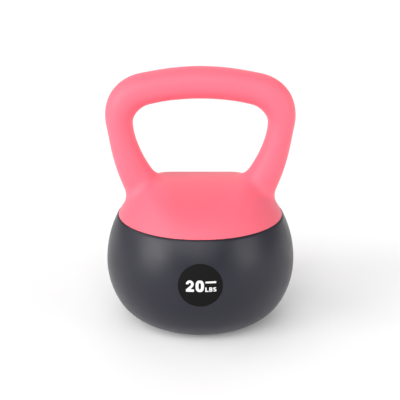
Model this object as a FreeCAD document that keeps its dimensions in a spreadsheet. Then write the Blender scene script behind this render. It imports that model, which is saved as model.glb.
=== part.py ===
"""Soft-shell kettlebell, a parametric assembly of separate sub-parts (millimetres, +Z up).

The origin is the centre of the flat base, on the floor. The grip runs along X and the weight
label faces -Y. Every driving dimension is a cell of the sheet named dims, and every sub-part is
an object of the document whose sizes are expressions of those cells.
"""
import FreeCAD
import Part
import Sketcher

import math
import os

DIMENSIONS = (
    # alias, value in millimetres, degrees or pieces, what it is
    ("body_radius", 100.0, "widest radius of the bowl"),
    ("equator_height", 65.0, "height of the widest ring above the floor"),
    ("upper_radius", 109.0, "profile arc from the widest ring up to the seam and over the shoulder"),
    ("lower_radius", 82.0, "profile arc from the widest ring down to the base corner"),
    ("base_corner", 50.0, "profile arc that rolls the bowl into its flat base"),
    ("seam_height", 115.8, "height of the joint between bowl and shoulder"),
    ("shell_wall", 4.5, "wall of the bowl"),
    ("base_wall", 8.0, "thickness of the flat base"),
    ("lip_inner", 83.0, "inner radius of the bowl's lip"),
    ("lip_round", 0.5, "rounding of the lip's outer edge"),
    ("flange_inner", 57.0, "inner radius of the bowl's bolting flange"),
    ("flange_top", 110.0, "height of the flange's top face"),
    ("flange_wall", 4.0, "thickness of the flange"),
    ("bead_width", 1.5, "width and height of the sealant bead"),
    ("cap_step", 0.6, "how far the shoulder stands back inside the lip's outer edge"),
    ("cap_wall", 6.0, "least wall of the soft shoulder over its former"),
    ("spigot_gap", 0.1, "radial gap between the shoulder's spigot and the lip"),
    ("crest_height", 155.3, "height of the shoulder's flattened top"),
    ("roof_radius", 125.0, "front-to-back curvature of the flattened top"),
    ("crease_round", 25.0, "rounding between the flattened top and the dome"),
    ("leg_round", 11.0, "fillet where the legs meet the shoulder"),
    ("grip_height", 255.9, "height of the grip's axis in the middle"),
    ("crown_radius", 242.4, "bend of the grip's axis"),
    ("crown_heading", 14.0, "slope of the axis where the grip ends"),
    ("corner_radius", 33.2, "bend of the handle's corner"),
    ("corner_heading", 95.7, "slope of the axis where the corner ends"),
    ("leg_radius", 158.4, "bend of the handle's leg"),
    ("leg_heading", 117.6, "slope of the axis where the leg runs straight"),
    ("grip_flat", 16.8, "in-plane radius of the grip in the middle"),
    ("grip_deep", 16.9, "front-to-back radius of the grip in the middle"),
    ("crown_flat", 16.2, "in-plane radius at the grip's ends"),
    ("crown_deep", 16.6, "front-to-back radius at the grip's ends"),
    ("corner_flat", 17.6, "in-plane radius at the middle of the corner"),
    ("corner_deep", 17.7, "front-to-back radius at the middle of the corner"),
    ("leg_flat", 13.3, "in-plane radius at the top of the leg"),
    ("leg_deep", 16.2, "front-to-back radius at the top of the leg"),
    ("shin_flat", 14.6, "in-plane radius at the middle of the leg"),
    ("shin_deep", 16.4, "front-to-back radius at the middle of the leg"),
    ("foot_flat", 17.6, "in-plane radius where the leg meets the shoulder"),
    ("foot_deep", 17.8, "front-to-back radius where the leg meets the shoulder"),
    ("root_run", 13.0, "spacing of the last leg sections inside the shoulder"),
    ("tube_radius", 11.0, "outer radius of the steel tube"),
    ("tube_wall", 2.0, "wall of the steel tube"),
    ("collar_wall", 3.0, "wall of the collars round the tube's feet"),
    ("collar_length", 20.0, "length of the collars along the tube"),
    ("gusset_wall", 4.0, "thickness of the foot gussets"),
    ("gusset_run", 18.0, "length of a gusset along the plate"),
    ("gusset_rise", 16.0, "height of a gusset"),
    ("plate_radius", 80.0, "radius of the anchor plate"),
    ("plate_wall", 3.0, "thickness of the anchor plate"),
    ("gasket_wall", 2.0, "thickness of the neck gasket"),
    ("core_wall", 5.0, "wall of the shoulder former"),
    ("rib_wall", 4.0, "thickness of the former's ribs"),
    ("rib_angle", 60.0, "angle of the former's ribs from the grip's direction"),
    ("clamp_inner", 60.0, "inner radius of the clamp ring"),
    ("clamp_wall", 3.0, "thickness of the clamp ring"),
    ("stud_count", 6.0, "studs, washers and nuts"),
    ("stud_circle", 70.0, "radius of the circle the studs stand on"),
    ("stud_radius", 3.0, "radius of a stud"),
    ("stud_length", 18.0, "length of a stud under the plate"),
    ("stud_hole", 3.5, "radius of the holes the studs pass through"),
    ("washer_radius", 6.0, "outer radius of a washer"),
    ("washer_bore", 3.2, "inner radius of a washer"),
    ("washer_wall", 1.6, "thickness of a washer"),
    ("nut_flats", 10.0, "width of a nut across its flats"),
    ("nut_height", 5.0, "height of a nut"),
    ("fill_height", 92.0, "level of the iron sand"),
    ("disc_radius", 42.0, "radius of the base disc"),
    ("disc_wall", 3.0, "thickness of the base disc"),
    ("port_radius", 17.0, "outer radius of the filling port's neck"),
    ("port_bore", 13.0, "inner radius of the filling port's neck"),
    ("port_top", 20.0, "height of the neck's inner end"),
    ("port_flange", 23.0, "radius of the neck's flange"),
    ("port_flange_wall", 2.0, "thickness of the neck's flange"),
    ("recess_radius", 19.0, "radius of the recess round the filling port"),
    ("recess_depth", 1.5, "depth of that recess"),
    ("plug_radius", 12.9, "radius of the stopper"),
    ("plug_bottom", 2.0, "height of the stopper's outer face"),
    ("plug_top", 17.0, "height of the stopper's inner face"),
    ("slot_width", 2.4, "width of the stopper's coin slot"),
    ("slot_length", 18.0, "length of the coin slot"),
    ("slot_depth", 2.0, "depth of the coin slot"),
    ("seal_height", 10.5, "height of the O-ring's middle"),
    ("seal_section", 0.8, "radius of the O-ring's section"),
    ("groove_width", 1.92, "width of the O-ring's groove"),
    ("label_height", 72.3, "height of the label's centre"),
    ("label_radius", 22.2, "radius of the label"),
    ("label_depth", 0.6, "thickness of the label"),
    ("print_depth", 0.25, "thickness of the label's white lettering"),
    ("number_left", -14.3, "left edge of the number"),
    ("number_bottom", 66.4, "lower edge of the lettering"),
    ("number_width", 8.0, "width of a digit"),
    ("number_tall", 11.9, "height of a digit"),
    ("number_stroke", 2.6, "stroke of a digit"),
    ("number_pitch", 9.6, "spacing of the digits"),
    ("unit_left", 4.8, "left edge of the unit letters"),
    ("unit_width", 3.3, "width of a unit letter"),
    ("unit_tall", 4.6, "height of a unit letter"),
    ("unit_stroke", 1.0, "stroke of a unit letter"),
    ("unit_pitch", 3.9, "spacing of the unit letters"),
    ("bar_rise", 8.9, "height of the plain bar above the lettering's lower edge"),
    ("bar_tall", 2.0, "height of the plain bar"),
)

NUMERICAL_ZERO = 1e-7
ON_EDGE = 0.001
ON_SURFACE = 0.01
FULL_TURN = 360.0
QUARTER_TURN = 90.0
NUT_SIDES = 6
ORIGIN_POINT = (-1, 1)
AXIS_OF = {"DistanceX": -2, "DistanceY": -1}
START, END, CENTRE = 1, 2, 3
PARTS_FOLDER = "parts"

# Bars of a block character: the corners of each bar in stroke widths and remaining width or height.
SEGMENTS = {
    "top": ("left", "right", "upper_edge", "top"),
    "middle": ("left", "right", "centre_low", "centre_high"),
    "bottom": ("left", "right", "bottom", "lower_edge"),
    "upper_left": ("left", "left_edge", "centre_low", "top"),
    "upper_right": ("right_edge", "right", "centre_low", "top"),
    "lower_left": ("left", "left_edge", "bottom", "centre_high"),
    "lower_right": ("right_edge", "right", "bottom", "centre_high"),
}
CHARACTERS = {
    "two": ("top", "upper_right", "middle", "lower_left", "bottom"),
    "zero": ("top", "upper_left", "upper_right", "lower_left", "lower_right", "bottom"),
    "letter_l": ("upper_left", "lower_left", "bottom"),
    "letter_b": ("top", "upper_left", "upper_right", "middle", "lower_left", "lower_right", "bottom"),
    "letter_s": ("top", "upper_left", "middle", "lower_right", "bottom"),
}

doc = FreeCAD.newDocument("kettlebell")


# ------------------------------------------------------------------ sheet and expressions

def make_sheet():
    """Write the driving dimensions, one row each: name, value, meaning."""
    dims = doc.addObject("Spreadsheet::Sheet", "dims")
    for row, (alias, amount, meaning) in enumerate(DIMENSIONS, start=1):
        dims.set(f"A{row}", alias)
        dims.set(f"B{row}", str(amount))
        dims.set(f"C{row}", meaning)
        dims.setAlias(f"B{row}", alias)
    doc.recompute()
    return dims


def value(expression):
    """Return the number that a sheet expression comes to."""
    result = sheet.evalExpression(expression)
    return float(getattr(result, "Value", result))


def bind(item, **expressions):
    """Tie properties of an object to expressions."""
    for name, expression in expressions.items():
        item.setExpression(name, expression)


def place(item, prefix, x="0", y="0", z="0"):
    """Tie the position part of a placement property to expressions."""
    for axis, expression in (("x", x), ("y", y), ("z", z)):
        item.setExpression(f"{prefix}.Base.{axis}", expression)


# ------------------------------------------------------------------ the bowl's profile

UPPER_CENTRE = "(dims.body_radius - dims.upper_radius)"
LOWER_CENTRE = "(dims.body_radius - dims.lower_radius)"
CORNER_DROP = "(dims.equator_height - dims.base_corner)"
CORNER_SPAN = "(dims.lower_radius - dims.base_corner)"
FLAT_RADIUS = f"({LOWER_CENTRE} + sqrt({CORNER_SPAN}^2 - {CORNER_DROP}^2))"


def upper_reach(height, inset="0"):
    """Radius of the upper profile arc at a height, moved in by inset."""
    drop = f"({height} - dims.equator_height)"
    return f"({UPPER_CENTRE} + sqrt((dims.upper_radius - {inset})^2 - {drop}^2))"


def lower_reach(height, inset="0"):
    """Radius of the lower profile arc at a height, moved in by inset."""
    drop = f"(dims.equator_height - {height})"
    return f"({LOWER_CENTRE} + sqrt((dims.lower_radius - {inset})^2 - {drop}^2))"


def corner_point(inset="0"):
    """Point where the lower arc meets the base corner, moved in by inset."""
    share = f"((dims.lower_radius - {inset}) / {CORNER_SPAN})"
    radius = f"({LOWER_CENTRE} + {share} * ({FLAT_RADIUS} - {LOWER_CENTRE}))"
    height = f"(dims.equator_height - {share} * {CORNER_DROP})"
    return radius, height


def corner_reach(height, inset):
    """Radius of the base corner's arc at a height, moved in by inset."""
    return f"({FLAT_RADIUS} + sqrt((dims.base_corner - {inset})^2 - (dims.base_corner - {height})^2))"


def line_to(x, y):
    """Straight side of an outline, to the point x, y."""
    return {"x": x, "y": y}


def arc_to(x, y, radius, turn):
    """Arc of an outline, to the point x, y, turning left (+1) or right (-1) as it goes."""
    return {"x": x, "y": y, "radius": radius, "turn": turn}


# ------------------------------------------------------------------ sketches

def origin_plane(body, role):
    """Return the body's own origin plane or axis with the given role."""
    for feature in body.Origin.OriginFeatures:
        if feature.Role == role:
            return feature
    raise LookupError(role)


def new_body(name):
    """Make an empty body that may hold several separate solids."""
    body = doc.addObject("PartDesign::Body", name)
    body.Label = name
    body.AllowCompound = True
    return body


def new_sketch(body, name, plane="XY_Plane", lift="0"):
    """Make a sketch on an origin plane of the body, raised along the plane's normal by lift."""
    sketch = body.newObject("Sketcher::SketchObject", f"{body.Name}_{name}")
    sketch.AttachmentSupport = (origin_plane(body, plane), "")
    sketch.MapMode = "FlatFace"
    if lift != "0":
        sketch.setExpression("AttachmentOffset.Base.z", lift)
    doc.recompute()
    return sketch


def tie_coordinate(sketch, kind, index, point, expression):
    """Tie one coordinate of a sketch point to an expression, measured from the sketch's origin."""
    amount = value(expression)
    if abs(amount) < NUMERICAL_ZERO:
        sketch.addConstraint(Sketcher.Constraint("PointOnObject", index, point, AXIS_OF[kind]))
        return
    if amount > 0:
        constraint = Sketcher.Constraint(kind, *ORIGIN_POINT, index, point, amount)
        bound = expression
    else:
        constraint = Sketcher.Constraint(kind, index, point, *ORIGIN_POINT, -amount)
        bound = f"-({expression})"
    number = sketch.addConstraint(constraint)
    sketch.setExpression(f"Constraints[{number}]", bound)


def tie_point(sketch, index, point, x, y):
    """Tie both coordinates of a sketch point to expressions."""
    tie_coordinate(sketch, "DistanceX", index, point, x)
    tie_coordinate(sketch, "DistanceY", index, point, y)


def tie_size(sketch, kind, index, expression):
    """Tie a radius or a length of a sketch element to an expression."""
    number = sketch.addConstraint(Sketcher.Constraint(kind, index, value(expression)))
    sketch.setExpression(f"Constraints[{number}]", expression)


def arc_geometry(start, end, radius, turn):
    """Return the arc of the given radius from start to end, turning left (+1) or right (-1)."""
    chord = end - start
    half = chord.Length / 2
    left = FreeCAD.Vector(-chord.y, chord.x, 0).normalize()
    centre = (start + end) * 0.5 + left * (turn * math.sqrt(radius ** 2 - half ** 2))
    first, last = (start, end) if turn > 0 else (end, start)
    circle = Part.Circle(centre, FreeCAD.Vector(0, 0, 1), radius)
    angles = [math.atan2(point.y - centre.y, point.x - centre.x) for point in (first, last)]
    return Part.ArcOfCircle(circle, *angles)


def draw_outline(sketch, start, steps, closed=True):
    """Draw an outline from start through steps, with each corner and radius tied to the sheet."""
    corner = FreeCAD.Vector(value(start[0]), value(start[1]), 0)
    ends = []
    for step in steps:
        target = FreeCAD.Vector(value(step["x"]), value(step["y"]), 0)
        if "radius" in step:
            shape = arc_geometry(corner, target, value(step["radius"]), step["turn"])
            index = sketch.addGeometry(shape, False)
            tie_size(sketch, "Radius", index, step["radius"])
            ends.append((index, START, END) if step["turn"] > 0 else (index, END, START))
        else:
            index = sketch.addGeometry(Part.LineSegment(corner, target), False)
            ends.append((index, START, END))
        tie_point(sketch, index, ends[-1][2], step["x"], step["y"])
        corner = target
    for before, after in zip(ends, ends[1:]):
        sketch.addConstraint(Sketcher.Constraint("Coincident", before[0], before[2], after[0], after[1]))
    if closed:
        sketch.addConstraint(Sketcher.Constraint("Coincident", ends[-1][0], ends[-1][2], ends[0][0], ends[0][1]))
    else:
        tie_point(sketch, ends[0][0], ends[0][1], *start)


def draw_circle(sketch, radius, x="0", y="0"):
    """Draw a circle whose radius and centre are tied to expressions."""
    centre = FreeCAD.Vector(value(x), value(y), 0)
    index = sketch.addGeometry(Part.Circle(centre, FreeCAD.Vector(0, 0, 1), value(radius)), False)
    tie_size(sketch, "Radius", index, radius)
    tie_point(sketch, index, CENTRE, x, y)


def draw_ellipse(sketch, along, across):
    """Draw an ellipse about the sketch's origin, with its longer radius along the sketch's X."""
    major = FreeCAD.Vector(value(along), 0, 0)
    minor = FreeCAD.Vector(0, value(across), 0)
    index = sketch.addGeometry(Part.Ellipse(major, minor, FreeCAD.Vector()), False)
    sketch.exposeInternalGeometry(index)
    major_axis, minor_axis = index + 1, index + 2
    sketch.addConstraint(Sketcher.Constraint("Coincident", index, CENTRE, *ORIGIN_POINT))
    sketch.addConstraint(Sketcher.Constraint("Horizontal", major_axis))
    tie_size(sketch, "Distance", major_axis, f"2 * {along}")
    tie_size(sketch, "Distance", minor_axis, f"2 * {across}")


# ------------------------------------------------------------------ features

def feature(body, kind, name, **settings):
    """Add a PartDesign feature and set its plain properties."""
    item = body.newObject(f"PartDesign::{kind}", f"{body.Name}_{name}")
    for key, setting in settings.items():
        setattr(item, key, setting)
    return item


def cut_checked(body, item):
    """Recompute a cutting feature and make sure that it took material away."""
    before = item.BaseFeature.Shape.Volume
    doc.recompute()
    if item.Shape.Volume > before - NUMERICAL_ZERO:
        raise RuntimeError(f"{item.Name} cuts nothing")
    body.Tip = item
    return item


def revolve(body, sketch, name="turned"):
    """Turn a profile drawn on the XZ plane about the vertical axis."""
    item = feature(body, "Revolution", name, Profile=sketch, ReferenceAxis=(sketch, ["V_Axis"]), Angle=FULL_TURN)
    doc.recompute()
    return item


def pad(body, sketch, length, name="pad", **settings):
    """Extrude a sketch by a length expression."""
    item = feature(body, "Pad", name, Profile=sketch, **settings)
    item.setExpression("Length", length)
    doc.recompute()
    return item


def pocket(body, sketch, depth, name="pocket", **settings):
    """Cut a sketch into the body by a depth expression, against the sketch's normal."""
    item = feature(body, "Pocket", name, Profile=sketch, **settings)
    item.setExpression("Length", depth)
    return cut_checked(body, item)


def repeat_round(body, originals, name="round"):
    """Repeat features round the vertical axis, once for each stud."""
    item = feature(body, "PolarPattern", name, Originals=originals, Angle=FULL_TURN)
    item.Axis = (origin_plane(body, "Z_Axis"), [""])
    item.setExpression("Occurrences", "dims.stud_count")
    body.Tip = item
    doc.recompute()
    return item


def mirror_left(body, originals, name="left"):
    """Mirror features to the other side of the YZ plane."""
    item = feature(body, "Mirrored", name, Originals=originals)
    item.MirrorPlane = (origin_plane(body, "YZ_Plane"), [""])
    body.Tip = item
    doc.recompute()
    return item


def stud_holes(body, top, depth):
    """Drill the ring of stud holes, from the height top down."""
    sketch = new_sketch(body, "stud_hole", lift=top)
    draw_circle(sketch, "dims.stud_hole", x="dims.stud_circle")
    hole = pocket(body, sketch, depth, "stud_hole_cut")
    before = hole.Shape.Volume
    holes = repeat_round(body, [hole], "stud_holes")
    if holes.Shape.Volume > before - NUMERICAL_ZERO:
        raise RuntimeError(f"{body.Name} has no stud holes")


def flat_ring(name, outer, inner, bottom, thickness, drilled=False):
    """Make a flat ring, or a disc where inner is None, drilled for the studs or not."""
    body = new_body(name)
    sketch = new_sketch(body, "ring", lift=bottom)
    draw_circle(sketch, outer)
    if inner:
        draw_circle(sketch, inner)
    pad(body, sketch, thickness)
    if drilled:
        stud_holes(body, f"({bottom} + {thickness})", thickness)
    return body


def boolean(kind, name, shapes):
    """Combine objects with a Part boolean: Cut and Common take two, MultiFuse any number."""
    item = doc.addObject(f"Part::{kind}", name)
    if kind == "MultiFuse":
        item.Shapes = shapes
    else:
        item.Base, item.Tool = shapes
    item.Label = name
    doc.recompute()
    return item


# ------------------------------------------------------------------ the handle's axis

CROWN_X = "(dims.crown_radius * sin(dims.crown_heading))"
CROWN_Z = "(dims.grip_height - dims.crown_radius * (1 - cos(dims.crown_heading)))"


def arc_centre(x, z, radius, heading):
    """Centre of the axis arc that leaves the point x, z with a heading."""
    return f"({x} - {radius} * sin({heading}))", f"({z} - {radius} * cos({heading}))"


def on_arc(centre, radius, heading):
    """Point of an axis arc where the axis has a heading."""
    return f"({centre[0]} + {radius} * sin({heading}))", f"({centre[1]} + {radius} * cos({heading}))"


CROWN_CENTRE = ("0", "(dims.grip_height - dims.crown_radius)")
CORNER_CENTRE = arc_centre(CROWN_X, CROWN_Z, "dims.corner_radius", "dims.crown_heading")
CORNER_END = on_arc(CORNER_CENTRE, "dims.corner_radius", "dims.corner_heading")
LEG_CENTRE = arc_centre(*CORNER_END, "dims.leg_radius", "dims.corner_heading")
LEG_END = on_arc(LEG_CENTRE, "dims.leg_radius", "dims.leg_heading")
PLATE_TOP = "(dims.flange_top + dims.gasket_wall + dims.plate_wall)"
PLATE_BOTTOM = "(dims.flange_top + dims.gasket_wall)"


def below_leg(distance):
    """Point of the axis a distance further down its straight foot."""
    x = f"({LEG_END[0]} + {distance} * cos(dims.leg_heading))"
    z = f"({LEG_END[1]} - {distance} * sin(dims.leg_heading))"
    return x, z


FOOT_RUN = f"(({LEG_END[1]} - {PLATE_TOP}) / sin(dims.leg_heading))"
FOOT = below_leg(FOOT_RUN)
FOOT_PAST = below_leg(f"({FOOT_RUN} + dims.tube_radius + dims.collar_wall)")


def blend(first, second, share="0.5"):
    """Value between two expressions."""
    return f"({first} + ({second} - {first}) * {share})"


def cross_sketch(body, name, point, heading):
    """Make a sketch across the handle's axis: its X is the object's Y, its Y points outwards."""
    sketch = body.newObject("Sketcher::SketchObject", f"{body.Name}_{name}")
    sketch.AttachmentSupport = (origin_plane(body, "YZ_Plane"), "")
    sketch.MapMode = "FlatFace"
    turn = FreeCAD.Rotation(FreeCAD.Vector(1, 0, 0), value(heading))
    sketch.AttachmentOffset = FreeCAD.Placement(FreeCAD.Vector(0, value(point[1]), value(point[0])), turn)
    sketch.setExpression("AttachmentOffset.Base.y", point[1])
    sketch.setExpression("AttachmentOffset.Base.z", point[0])
    sketch.setExpression("AttachmentOffset.Rotation.Angle", heading)
    return sketch


def half_axis(body):
    """Draw the right half of the handle's axis, from the middle of the grip down past the plate."""
    path = new_sketch(body, "axis", "XZ_Plane")
    steps = [
        arc_to(CROWN_X, CROWN_Z, "dims.crown_radius", -1),
        arc_to(*CORNER_END, "dims.corner_radius", -1),
        arc_to(*LEG_END, "dims.leg_radius", -1),
        line_to(*FOOT_PAST),
    ]
    draw_outline(path, ("0", "dims.grip_height"), steps, closed=False)
    doc.recompute()
    return path


def trim_below(body, top, name="trim"):
    """Cut away everything of a body that lies lower than the height top."""
    sketch = new_sketch(body, name, lift=top)
    draw_circle(sketch, "dims.body_radius")
    return pocket(body, sketch, "dims.body_radius", f"{name}_cut")


def rod_along_handle(name, radii):
    """Make a rod or, with two radii, a tube along the handle's axis, cut flat on the plate."""
    body = new_body(name)
    path = half_axis(body)
    section = cross_sketch(body, "section", ("0", "dims.grip_height"), "0")
    for radius in radii:
        draw_circle(section, radius)
    pipe = feature(body, "AdditivePipe", "pipe", Profile=section, Spine=(path, []), Transition="Transformed")
    doc.recompute()
    mirror_left(body, [pipe])
    trim_below(body, PLATE_TOP)
    return body


# ------------------------------------------------------------------ the handle and shoulder moulding

def handle_sections():
    """List the handle's cross sections from the grip's middle down: point, heading, two radii."""
    deep = {name: f"dims.{name}_deep" for name in ("grip", "crown", "corner", "leg", "shin", "foot")}
    flat = {name: f"dims.{name}_flat" for name in deep}
    corner_mid = blend("dims.crown_heading", "dims.corner_heading")
    corner_first = blend("dims.crown_heading", "dims.corner_heading", "0.25")
    corner_third = blend("dims.crown_heading", "dims.corner_heading", "0.75")
    leg_mid = blend("dims.corner_heading", "dims.leg_heading")
    crown_mid = blend("0", "dims.crown_heading")
    crown, corner, leg = "dims.crown_radius", "dims.corner_radius", "dims.leg_radius"
    rows = [
        (on_arc(CROWN_CENTRE, crown, crown_mid), crown_mid, "grip", "crown"),
        (on_arc(CROWN_CENTRE, crown, "dims.crown_heading"), "dims.crown_heading", "crown", "crown"),
        (on_arc(CORNER_CENTRE, corner, corner_first), corner_first, "crown", "corner"),
        (on_arc(CORNER_CENTRE, corner, corner_mid), corner_mid, "corner", "corner"),
        (on_arc(CORNER_CENTRE, corner, corner_third), corner_third, "corner", "leg"),
        (CORNER_END, "dims.corner_heading", "leg", "leg"),
        (on_arc(LEG_CENTRE, leg, leg_mid), leg_mid, "shin", "shin"),
        (LEG_END, "dims.leg_heading", "shin", "foot"),
        (below_leg("dims.root_run"), "dims.leg_heading", "foot", "foot"),
        (below_leg("2 * dims.root_run"), "dims.leg_heading", "foot", "foot"),
    ]
    half = [(point, heading, blend(deep[a], deep[b]), blend(flat[a], flat[b])) for point, heading, a, b in rows]
    middle = [(("0", "dims.grip_height"), "0", deep["grip"], flat["grip"])]
    mirrored = [((f"-{point[0]}", point[1]), f"-{heading}", *radii) for point, heading, *radii in reversed(half)]
    return mirrored + middle + half


def cap_dome(body):
    """Turn the shoulder's dome, from the seam up to the axis."""
    profile = new_sketch(body, "dome", "XZ_Plane")
    top = f"(dims.equator_height + sqrt((dims.upper_radius - dims.cap_step)^2 - {UPPER_CENTRE}^2))"
    rim = upper_reach("dims.seam_height", "dims.cap_step")
    spigot = "(dims.lip_inner - dims.spigot_gap)"
    steps = [
        line_to(spigot, "dims.flange_top"),
        line_to(spigot, "dims.seam_height"),
        line_to(rim, "dims.seam_height"),
        arc_to("0", top, "(dims.upper_radius - dims.cap_step)", 1),
        line_to("0", "dims.flange_top"),
    ]
    draw_outline(profile, ("0", "dims.flange_top"), steps)
    return revolve(body, profile, "dome_turned")


def cap_roof(body):
    """Cut the dome's top down to a roof that is curved from front to back only."""
    profile = new_sketch(body, "roof", "YZ_Plane")
    spring = f"(dims.crest_height - dims.roof_radius + sqrt(dims.roof_radius^2 - dims.body_radius^2))"
    steps = [
        arc_to("-dims.body_radius", spring, "dims.roof_radius", 1),
        line_to("-dims.body_radius", "dims.grip_height"),
        line_to("dims.body_radius", "dims.grip_height"),
        line_to("dims.body_radius", spring),
    ]
    draw_outline(profile, ("dims.body_radius", spring), steps)
    return pocket(body, profile, "2 * dims.body_radius", "roof_cut", SideType="Symmetric")


def round_edges(body, base, radius, chosen, name):
    """Fillet the edges of the latest feature that chosen accepts by their middle point."""
    names = []
    for number, edge in enumerate(base.Shape.Edges, start=1):
        middle = edge.valueAt((edge.FirstParameter + edge.LastParameter) / 2)
        if chosen(edge, middle):
            names.append(f"Edge{number}")
    item = feature(body, "Fillet", name, Base=(base, names))
    item.setExpression("Radius", radius)
    doc.recompute()
    body.Tip = item
    return item


def make_cap_outside():
    """Make the soft moulding's outside: dome, roof and handle, with filleted leg roots."""
    body = new_body("cap_outside")
    cap_dome(body)
    roof = cap_roof(body)
    seam = value("dims.seam_height") + value("dims.cap_step")
    crease = round_edges(body, roof, "dims.crease_round", lambda edge, middle: middle.z > seam, "crease")
    sketches = []
    for number, (point, heading, deep, flat) in enumerate(handle_sections()):
        sketch = cross_sketch(body, f"section_{number}", point, heading)
        draw_ellipse(sketch, deep, flat)
        sketches.append(sketch)
    doc.recompute()
    loft = feature(body, "AdditiveLoft", "handle", Profile=sketches[0], Sections=sketches[1:])
    doc.recompute()

    def at_leg_root(edge, middle):
        """Tell whether an edge is where a leg comes out of the shoulder."""
        point = Part.Vertex(middle)
        on_shoulder = point.distToShape(crease.Shape.Shells[0])[0] < ON_SURFACE
        off_old_edges = all(point.distToShape(old)[0] > ON_SURFACE for old in crease.Shape.Edges)
        return middle.z > seam and on_shoulder and off_old_edges

    round_edges(body, loft, "dims.leg_round", at_leg_root, "leg_roots")
    return body


def former_outline(sketch, inset):
    """Draw the former's half profile, moved in by inset, standing on the anchor plate."""
    side = f"(dims.upper_radius - dims.cap_step - dims.cap_wall - {inset})"
    roof = f"(dims.roof_radius - dims.cap_wall - {inset})"
    roof_centre = "(dims.crest_height - dims.roof_radius)"
    # The side arc and the roof arc cross where both circles have the same point.
    gap_x = UPPER_CENTRE
    gap_z = f"(dims.equator_height - {roof_centre})"
    gap = f"sqrt({gap_x}^2 + {gap_z}^2)"
    along = f"(({roof}^2 - {side}^2 + {gap}^2) / (2 * {gap}))"
    across = f"sqrt({roof}^2 - {along}^2)"
    knee_x = f"(({along} * {gap_x} + {across} * {gap_z}) / {gap})"
    knee_z = f"({roof_centre} + ({along} * {gap_z} - {across} * {gap_x}) / {gap})"
    foot = f"({UPPER_CENTRE} + sqrt({side}^2 - ({PLATE_TOP} - dims.equator_height)^2))"
    steps = [
        line_to(foot, PLATE_TOP),
        arc_to(knee_x, knee_z, side, 1),
        arc_to("0", f"({roof_centre} + {roof})", roof, 1),
        line_to("0", PLATE_TOP),
    ]
    draw_outline(sketch, ("0", PLATE_TOP), steps)


def former_body(name, inset):
    """Turn the former's profile, moved in by inset, into a solid."""
    body = new_body(name)
    profile = new_sketch(body, "profile", "XZ_Plane")
    former_outline(profile, inset)
    revolve(body, profile)
    return body


def make_plate_room():
    """Make the room that the anchor plate and the gasket take inside the cap's spigot."""
    return flat_ring("plate_room", "dims.plate_radius", None, "dims.flange_top",
                     "(dims.gasket_wall + dims.plate_wall)")


def make_handle_cap(former, rod):
    """Hollow the soft moulding over the former, the plate and the tube."""
    inside = boolean("MultiFuse", "cap_inside", [former, make_plate_room(), rod])
    return boolean("Cut", "handle_cap", [make_cap_outside(), inside])


# ------------------------------------------------------------------ the steel frame

def make_collars():
    """Make the two collars that are welded round the tube's feet."""
    body = new_body("foot_collars")
    start = below_leg(f"({FOOT_RUN} - dims.collar_length)")
    section = cross_sketch(body, "section", start, "dims.leg_heading")
    draw_circle(section, "(dims.tube_radius + dims.collar_wall)")
    draw_circle(section, "dims.tube_radius")
    collar = pad(body, section, "(dims.collar_length + dims.tube_radius + dims.collar_wall)")
    mirror_left(body, [collar])
    trim_below(body, PLATE_TOP)
    return body


def make_gussets():
    """Make the two triangular plates between the collars and the anchor plate."""
    body = new_body("foot_gussets")
    profile = new_sketch(body, "profile", "XZ_Plane")
    lean = "tan(dims.leg_heading - 90)"
    heel = f"({FOOT[0]} - (dims.tube_radius + dims.collar_wall) / sin(dims.leg_heading))"
    steps = [
        line_to(f"({heel} + dims.gusset_rise * {lean})", f"({PLATE_TOP} + dims.gusset_rise)"),
        line_to(f"({heel} - dims.gusset_run)", PLATE_TOP),
        line_to(heel, PLATE_TOP),
    ]
    draw_outline(profile, (heel, PLATE_TOP), steps)
    gusset = pad(body, profile, "dims.gusset_wall", SideType="Symmetric")
    mirror_left(body, [gusset])
    return body


def make_former(former, rod, collars, gussets):
    """Hollow the former, leave two crossing ribs in it and clear the steel feet."""
    hollow = former_body("former_hollow", "dims.core_wall")
    walls = boolean("Cut", "former_walls", [former, hollow])
    ribs = []
    for side in (1, -1):
        rib = doc.addObject("Part::Box", f"former_rib_{len(ribs)}")
        bind(rib, Length="2 * dims.plate_radius", Width="dims.rib_wall", Height="dims.crest_height")
        angle = f"({side} * dims.rib_angle)"
        rib.Placement.Rotation = FreeCAD.Rotation(FreeCAD.Vector(0, 0, 1), value(angle))
        rib.setExpression("Placement.Rotation.Angle", f"{side} * {angle}")
        back_x = f"(-dims.plate_radius * cos({angle}) + dims.rib_wall / 2 * sin({angle}))"
        back_y = f"(-dims.plate_radius * sin({angle}) - dims.rib_wall / 2 * cos({angle}))"
        place(rib, "Placement", back_x, back_y, PLATE_TOP)
        ribs.append(rib)
    crossing = boolean("MultiFuse", "former_crossing", ribs)
    trimmed = boolean("Common", "former_ribs", [crossing, hollow])
    ribbed = boolean("MultiFuse", "former_ribbed", [walls, trimmed])
    steel = boolean("MultiFuse", "former_clearance", [rod, collars, gussets])
    return boolean("Cut", "shoulder_core", [ribbed, steel])


def make_studs():
    """Make the ring of studs that hang from the anchor plate."""
    body = new_body("weld_studs")
    sketch = new_sketch(body, "stud", lift=f"({PLATE_BOTTOM} - dims.stud_length)")
    draw_circle(sketch, "dims.stud_radius", x="dims.stud_circle")
    stud = pad(body, sketch, "dims.stud_length")
    repeat_round(body, [stud])
    return body


CLAMP_BOTTOM = "(dims.flange_top - dims.flange_wall - dims.clamp_wall)"
WASHER_BOTTOM = f"({CLAMP_BOTTOM} - dims.washer_wall)"
NUT_BOTTOM = f"({WASHER_BOTTOM} - dims.nut_height)"


def make_washers():
    """Make the ring of washers under the clamp ring."""
    body = new_body("stud_washers")
    sketch = new_sketch(body, "washer", lift=WASHER_BOTTOM)
    draw_circle(sketch, "dims.washer_radius", x="dims.stud_circle")
    draw_circle(sketch, "dims.washer_bore", x="dims.stud_circle")
    washer = pad(body, sketch, "dims.washer_wall")
    repeat_round(body, [washer])
    return body


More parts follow.
